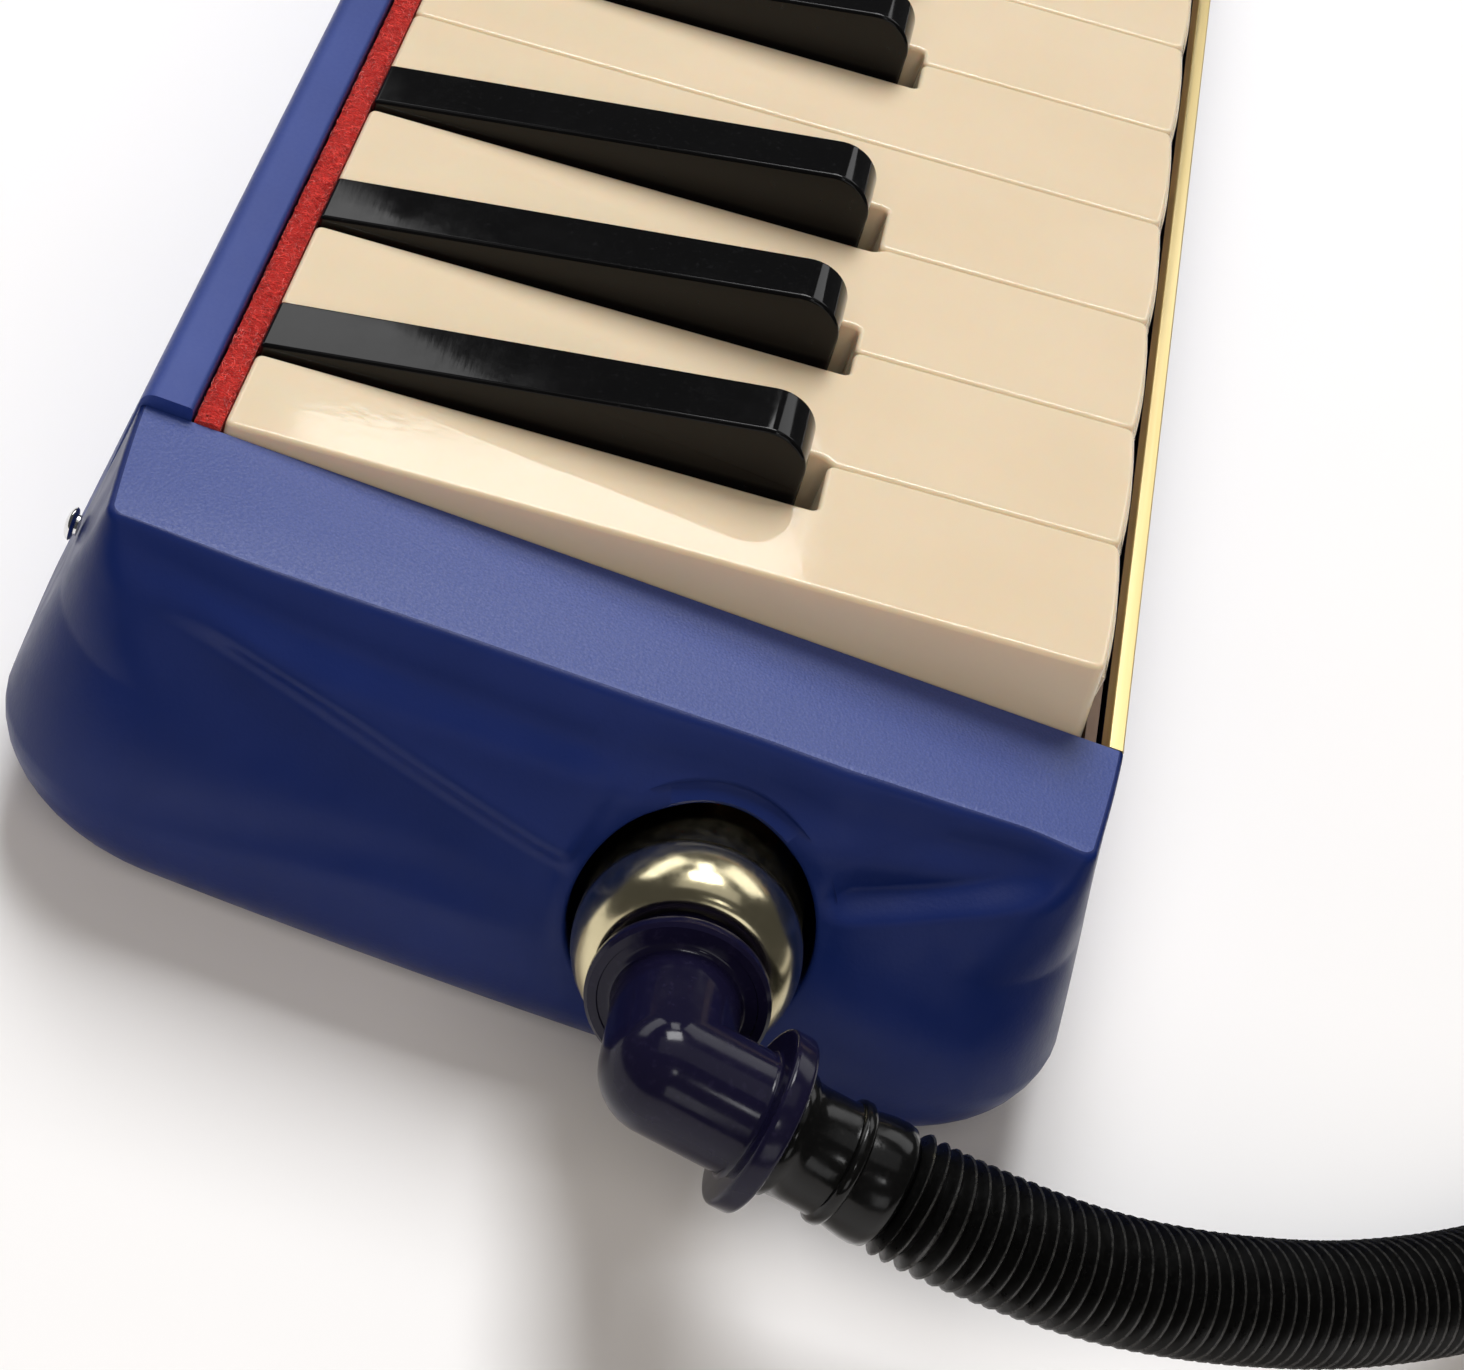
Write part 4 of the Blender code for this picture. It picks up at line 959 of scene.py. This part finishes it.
def make_collar(mats):
    """Brass blow socket: barrel whose mouth rolls over to an inner lip."""
    roll = [(COLLAR_RADIUS + COLLAR_ROLL * (cos(radians(a)) - 1),
             COLLAR_SHOULDER + (COLLAR_REACH - COLLAR_SHOULDER) * sin(radians(a)))
            for a in range(-30, 111, 5)]
    profile = [(COLLAR_BORE, COLLAR_BACK), (COLLAR_BORE, COLLAR_REACH - 0.0030), *roll[::-1],
               (COLLAR_RADIUS - 0.0005, COLLAR_BACK)]
    add_piece("brass_collar", turned(profile, JOINT_POINT, JOINT_AXIS, 128), 60.0, mats["brass"],
              "body", "brass", "joint_socket")


def elbow_rings(profile, base, axis, outer, hinge):
    """Rings round an axis for (radius, height) stations, started on the outer side."""
    return [oval(base + axis * height, outer, hinge, radius, radius, ELBOW_SIDES)
            for radius, height in profile]


def bend_rings(corner, axis, outer, hinge, turn, count):
    """Mitred on the inner side, round on the outer side, from stem to branch."""
    rings = []
    for index in range(count + 1):
        swing = Matrix.Rotation(turn * index / count, 3, hinge)
        ring = []
        for step in range(ELBOW_SIDES):
            angle = 2 * pi * step / ELBOW_SIDES
            across = outer * cos(angle)
            if cos(angle) > 0:
                across = swing @ across
            else:
                across += axis * cos(angle) * tan(turn / 2)
            ring.append(corner + (across + hinge * sin(angle)) * ELBOW_RADIUS)
        rings.append(ring)
    return rings


def make_elbow(mats):
    """Plug, rim, mitred bend and hose flange in one glossy moulding."""
    corner, out = ELBOW_CORNER, hose_direction()
    hinge = JOINT_AXIS.cross(out).normalized()
    turn = JOINT_AXIS.angle(out)
    outer = JOINT_AXIS.cross(hinge).normalized()
    if outer.dot(out) > 0:
        outer.negate()
    rim_top = RIM_AT + RIM_THICK
    edge, fillet, round_off = 0.00035, 0.0007, 0.0005
    stem = [(0.0, SHANK_END), (SHANK_RADIUS - 0.0006, SHANK_END),
            (SHANK_RADIUS, SHANK_END + 0.0006), (SHANK_RADIUS, RIM_AT), (RIM_RADIUS - edge, RIM_AT),
            *arc((RIM_RADIUS - edge, RIM_AT + edge), edge, -60, 0, 2),
            (RIM_RADIUS, rim_top - edge), (RIM_RADIUS - edge, rim_top),
            (RIM_RADIUS - 0.0012, rim_top + 0.00004), (RIM_RADIUS - 0.0013, rim_top - 0.00012),
            *arc((ELBOW_RADIUS + fillet, rim_top + 0.0006), fillet, 270, 180, 5)]
    far = FLANGE_AT + FLANGE_THICK
    branch = [*arc((ELBOW_RADIUS + round_off, FLANGE_AT - round_off), round_off, 180, 90, 4),
              *arc((FLANGE_RADIUS - round_off, FLANGE_AT + round_off), round_off, 270, 360, 4),
              *arc((FLANGE_RADIUS - round_off, far - round_off), round_off, 0, 90, 4),
              (0.0052, far), (0.0040, far - 0.0010), (0.0, far - 0.0010)]
    rings = elbow_rings(stem, JOINT_POINT, JOINT_AXIS, outer, hinge)
    rings += bend_rings(corner, JOINT_AXIS, outer, hinge, turn, 20)
    swung = Matrix.Rotation(turn, 3, hinge) @ outer
    rings += elbow_rings(branch, corner, out, swung, hinge)
    bm = bmesh.new()
    bridge(bm, [add_points(bm, ring) for ring in rings])
    bmesh.ops.remove_doubles(bm, verts=bm.verts, dist=1e-6)
    outward(bm)
    add_piece("elbow_moulding", bm, 32.0, mats["navy"], "mouth_tube", "navy_plastic", "elbow")


def make_cuff(mats):
    """Rubber cuff: lip at the flange, raised ring, swollen end."""
    outer = [(0.0058, 0.0), (0.0060, 0.0004), (0.0060, 0.0012), (0.0056, 0.0016),
             (0.0055, 0.0028), (0.0055, 0.0056), (0.0056, 0.0060), (0.0060, 0.0062),
             (0.0061, 0.0065), (0.0061, 0.0070), (0.0059, 0.0073), (0.0056, 0.0075),
             (0.0058, 0.0084), (0.0060, 0.0096), (0.00605, 0.0108), (0.0059, 0.0116),
             (0.0054, 0.0120), (0.0050, 0.0121)]
    profile = [(0.0036, 0.0), (0.0036, 0.0121), *outer[::-1]]
    base = ELBOW_CORNER + hose_direction() * CUFF_START
    return add_piece("rubber_cuff", turned(profile, base, hose_direction()), 45.0, mats["rubber"],
                     "mouth_tube", "black_rubber", "hose_cuff")


def line_frames(points):
    """A direction and a side vector at every point, without any twist."""
    frames = []
    side = None
    for index in range(len(points)):
        before, after = points[max(index - 1, 0)], points[min(index + 1, len(points) - 1)]
        along = (after - before).normalized()
        if side is None:
            side = along.orthogonal()
        side = (side - along * side.dot(along)).normalized()
        frames.append((along, side))
    return frames


def make_hose(mats):
    """Corrugated tube: sharp ridges that close up on the inside of the bend."""
    start = ELBOW_CORNER + hose_direction() * (HOSE_START - HOSE_INSET)
    fine = smooth_route([start, start + hose_direction() * 0.0060, *HOSE_ROUTE], 900)
    start = fine[0]
    length = sum((b - a).length for a, b in zip(fine, fine[1:]))
    ridges = round(length / HOSE_PITCH)
    steps = [(0.0, 0.0), (0.22, 0.34), (0.42, 0.86), (0.5, 1.0), (0.58, 0.86), (0.78, 0.34)]
    places = [(ridge + share, high) for ridge in range(ridges) for share, high in steps]
    points, heights = [], []
    for place, high in places:
        at = place / ridges * (len(fine) - 1)
        index = min(int(at), len(fine) - 2)
        points.append(fine[index].lerp(fine[index + 1], at - index))
        heights.append(high)
    bm = bmesh.new()
    rings = []
    for point, high, (along, side) in zip(points, heights, line_frames(points)):
        radius = HOSE_ROOT + (HOSE_RADIUS - HOSE_ROOT) * high
        ring = oval(point, side, along.cross(side), radius, radius, HOSE_SIDES)
        rings.append(add_points(bm, ring))
    # faces along each crest take the lighter ridge finish, a painted highlight
    for index, face in enumerate(bridge(bm, rings)):
        painted_highlight_crest = min(heights[index // HOSE_SIDES:index // HOSE_SIDES + 2]) > 0.8
        face.material_index = int(painted_highlight_crest)
    bm.faces.new(rings[0][::-1])
    bm.faces.new(rings[-1])
    obj = add_piece("corrugated_hose", bm, 36.0, mats["hose"], "mouth_tube", "black_rubber",
                    "hose")
    obj.data.materials.append(mats["ridge"])
    return obj, start, fine[::20] + [fine[-1]], length


def make_mouthpiece(mats):
    """Mouthpiece: ribbed socket that flattens into an oval beak."""
    end = Vector(HOSE_ROUTE[-1])
    along = (end - Vector(HOSE_ROUTE[-2])).normalized()
    base = end + along * CLEAR
    level = Vector((-along.y, along.x, 0)).normalized()
    up = along.cross(level)
    if up.z < 0:
        up.negate()
    socket = 0.0112
    stations = [(0.0, 0.0060), (0.0004, 0.0063)]
    for rib in range(4):
        at = 0.0012 + rib * 0.0024
        stations += [(at, 0.0063), (at + 0.0006, 0.0060), (at + 0.0012, 0.0060),
                     (at + 0.0018, 0.0063)]
    shape = [(s, r, r) for s, r in stations] + [(socket, 0.0056, 0.0056)]
    for step in range(1, 25):
        share = step / 24
        at = socket + (MOUTHPIECE_LENGTH - socket - 0.0010) * share
        width = 0.0056 - 0.0010 * smoothstep(0.0, 0.6, share)
        width += 0.0003 * smoothstep(0.85, 1.0, share)
        height = 0.0056 - 0.0030 * smoothstep(0.0, 1.0, share) + 0.0005 * bell(share - 0.95, 0.05)
        shape.append((at, width, height))
    tip = MOUTHPIECE_LENGTH
    shape += [(tip - 0.0003, width - 0.0002, height - 0.0002),
              (tip, width - 0.0008, height - 0.0007),
              (tip - 0.0004, width - 0.0013, height - 0.0011), (tip - 0.0100, 0.0024, 0.0014),
              (0.0006, 0.0030, 0.0030), (0.0, 0.0036, 0.0036)]
    bm = bmesh.new()
    rings = [oval(base + along * at, level, up, wide, high, 56) for at, wide, high in shape]
    bridge(bm, [add_points(bm, ring) for ring in rings], loop=True)
    outward(bm)
    return add_piece("mouthpiece_moulding", bm, 40.0, mats["navy"], "mouth_tube", "navy_plastic",
                     "mouthpiece")


# ---- small parts ----
def make_drain(mats):
    """Drain button: dished head with a groove, on its stem."""
    head = DRAIN_RADIUS
    stem = DRAIN_HIGH.x - DRAIN_LOW.x
    profile = [(0.0, -0.0004), (head * 0.45, -0.0003), (head * 0.70, -0.0001), (head * 0.80, 0.0),
               (head - 0.0006, 0.0), (head - 0.0002, -0.0002), (head, -0.0007), (head, -0.0100),
               (0.0020, -0.0100), (0.0020, -stem), (0.0, -stem)]
    add_piece("drain_button_cap", turned(profile, DRAIN_FACE, (1, 0, 0), 64, False), 35.0,
              mats["chest"], "drain_button", "chest_plastic", "drain_button")


def make_pins(mats):
    """Domed strap studs on the rear wall."""
    for name in ("strap_pin_left", "strap_pin_right"):
        low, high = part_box(name)
        centre = (low + high) / 2
        reach = high.y - low.y
        radius = (high.x - low.x) / 2
        profile = [(radius * sin(radians(a)), reach * (0.45 + 0.55 * cos(radians(a))))
                   for a in range(0, 91, 10)]
        profile += [(radius * 0.9, reach * 0.30), (radius * 0.65, reach * 0.2),
                    (radius * 0.65, 0.0), (0.0, 0.0)]
        base = Vector((centre.x, low.y, centre.z))
        add_piece(name + "_stud", turned(profile, base, (0, 1, 0), 40, False), 35.0,
                  mats["chrome"], "body", "spring_steel", name)


def finish_inner_parts(mats):
    """Frame nodes that stay as they are, with their finish."""
    finishes = {"key_bed": "brown", "key_stop_felt": "felt", "key_pivot_rod": "steel",
                "return_spring_comb": "steel", "wind_chest": "chest", "valve_deck": "chest",
                "air_duct": "rubber", "reed_plate_low": "brass", "reed_plate_high": "brass"}
    for name, finish in finishes.items():
        materials = NODES[name].data.materials
        materials.clear()
        materials.append(mats[finish])


# ---- stage ----
def make_camera():
    camera = bpy.data.cameras.new("camera")
    camera.lens = CAMERA_LENS
    camera.sensor_width = 36.0
    camera.clip_start = 0.01
    obj = new_object("camera", camera)
    look = (CAMERA_TARGET - CAMERA_PLACE).to_track_quat("-Z", "Y").to_matrix().to_4x4()
    obj.matrix_world = (Matrix.Translation(CAMERA_PLACE) @ look
                        @ Matrix.Rotation(CAMERA_ROLL, 4, "Z"))
    bpy.context.scene.camera = obj


def make_floor():
    bm = bmesh.new()
    bmesh.ops.create_grid(bm, x_segments=1, y_segments=1, size=4.0)
    floor = new_object("floor", mesh_of("floor", bm, 35.0))
    floor.location.z = -0.0001
    fin = Finish("pale_floor", (0.91, 0.91, 0.92), 0.75, spec=0.2)
    fin.tint((8, 3), (0.3, (0.90, 0.90, 0.91)), (0.7, (0.92, 0.92, 0.93)))
    floor.data.materials.append(fin.mat)


def direction(azimuth, elevation):
    """Unit vector; azimuth runs from +X toward +Y, in degrees."""
    a, e = radians(azimuth), radians(elevation)
    return Vector((cos(a) * cos(e), sin(a) * cos(e), sin(e)))


def make_panel(name, azimuth, elevation, far, width, height, radiance, colour=(1.0, 1.0, 1.0)):
    """Soft light toward the keyboard; its power follows from the radiance of its face."""
    light = bpy.data.lights.new(name, "AREA")
    light.shape = "RECTANGLE"
    light.size = width
    light.size_y = height
    light.energy = radiance * pi * width * height
    light.color = colour
    obj = new_object(name, light)
    obj.location = LIGHT_TARGET + direction(azimuth, elevation) * far
    obj.rotation_euler = (LIGHT_TARGET - obj.location).to_track_quat("-Z", "Y").to_euler()
    obj.visible_camera = False
    return obj


def make_lights():
    """Wide panels light the surfaces, the others are seen only in reflections."""
    # name, azimuth, elevation, distance, width, height, radiance
    wide = [make_panel("key_light", 13.5, 57, 1.8, 0.78, 1.12, 11.6),
            make_panel("side_fill", 185, 42, 1.9, 2.0, 1.4, 2.3, (1.0, 0.90, 0.80))]
    seen = [make_panel("softbox_face", 13.5, 66, 1.8, 0.70, 0.50, 13.5),
            make_panel("window_sheen", 8.5, 46, 1.8, 0.34, 0.44, 4.5),
            make_panel("rear_wall", 45, 33, 1.7, 1.15, 0.48, 2.3),
            make_panel("overhead", 0, 88, 1.6, 1.6, 0.9, 0.45),
            make_panel("front_glow", -30, 38, 1.7, 0.9, 0.7, 1.8),
            make_panel("edge_glint", 197, 50, 1.6, 0.16, 0.16, 7.0),
            make_panel("front_sheen", 197, 17, 1.5, 0.55, 0.45, 1.3)]
    for light in wide:
        light.visible_glossy = False
    for light in seen:
        light.visible_diffuse = False
    world = bpy.data.worlds.new("studio")
    bpy.context.scene.world = world
    world.use_nodes = True
    sky = world.node_tree.nodes["Background"].inputs
    sky["Color"].default_value = (1.0, 1.0, 1.0, 1.0)
    sky["Strength"].default_value = 0.07


def main():
    mats = make_materials()
    make_camera()
    make_floor()
    make_lights()
    bpy.context.scene.view_settings.view_transform = "Standard"
    in_line = sorted(NODES, key=lambda name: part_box(name)[0].x)
    whites = [name for name in in_line if name.startswith("white_key_")]
    blacks = [name for name in in_line if name.startswith("black_key_")]
    cuff = make_cuff(mats)
    hose, start, path, length = make_hose(mats)
    mouthpiece = make_mouthpiece(mats)
    for make in (make_caps, make_case, make_cover, make_trim, make_felt):
        make(mats)
    make_white_keys(mats, whites, blacks)
    make_black_keys(mats, blacks)
    for make in (make_collar, make_elbow, make_drain, make_pins, finish_inner_parts):
        make(mats)


main()
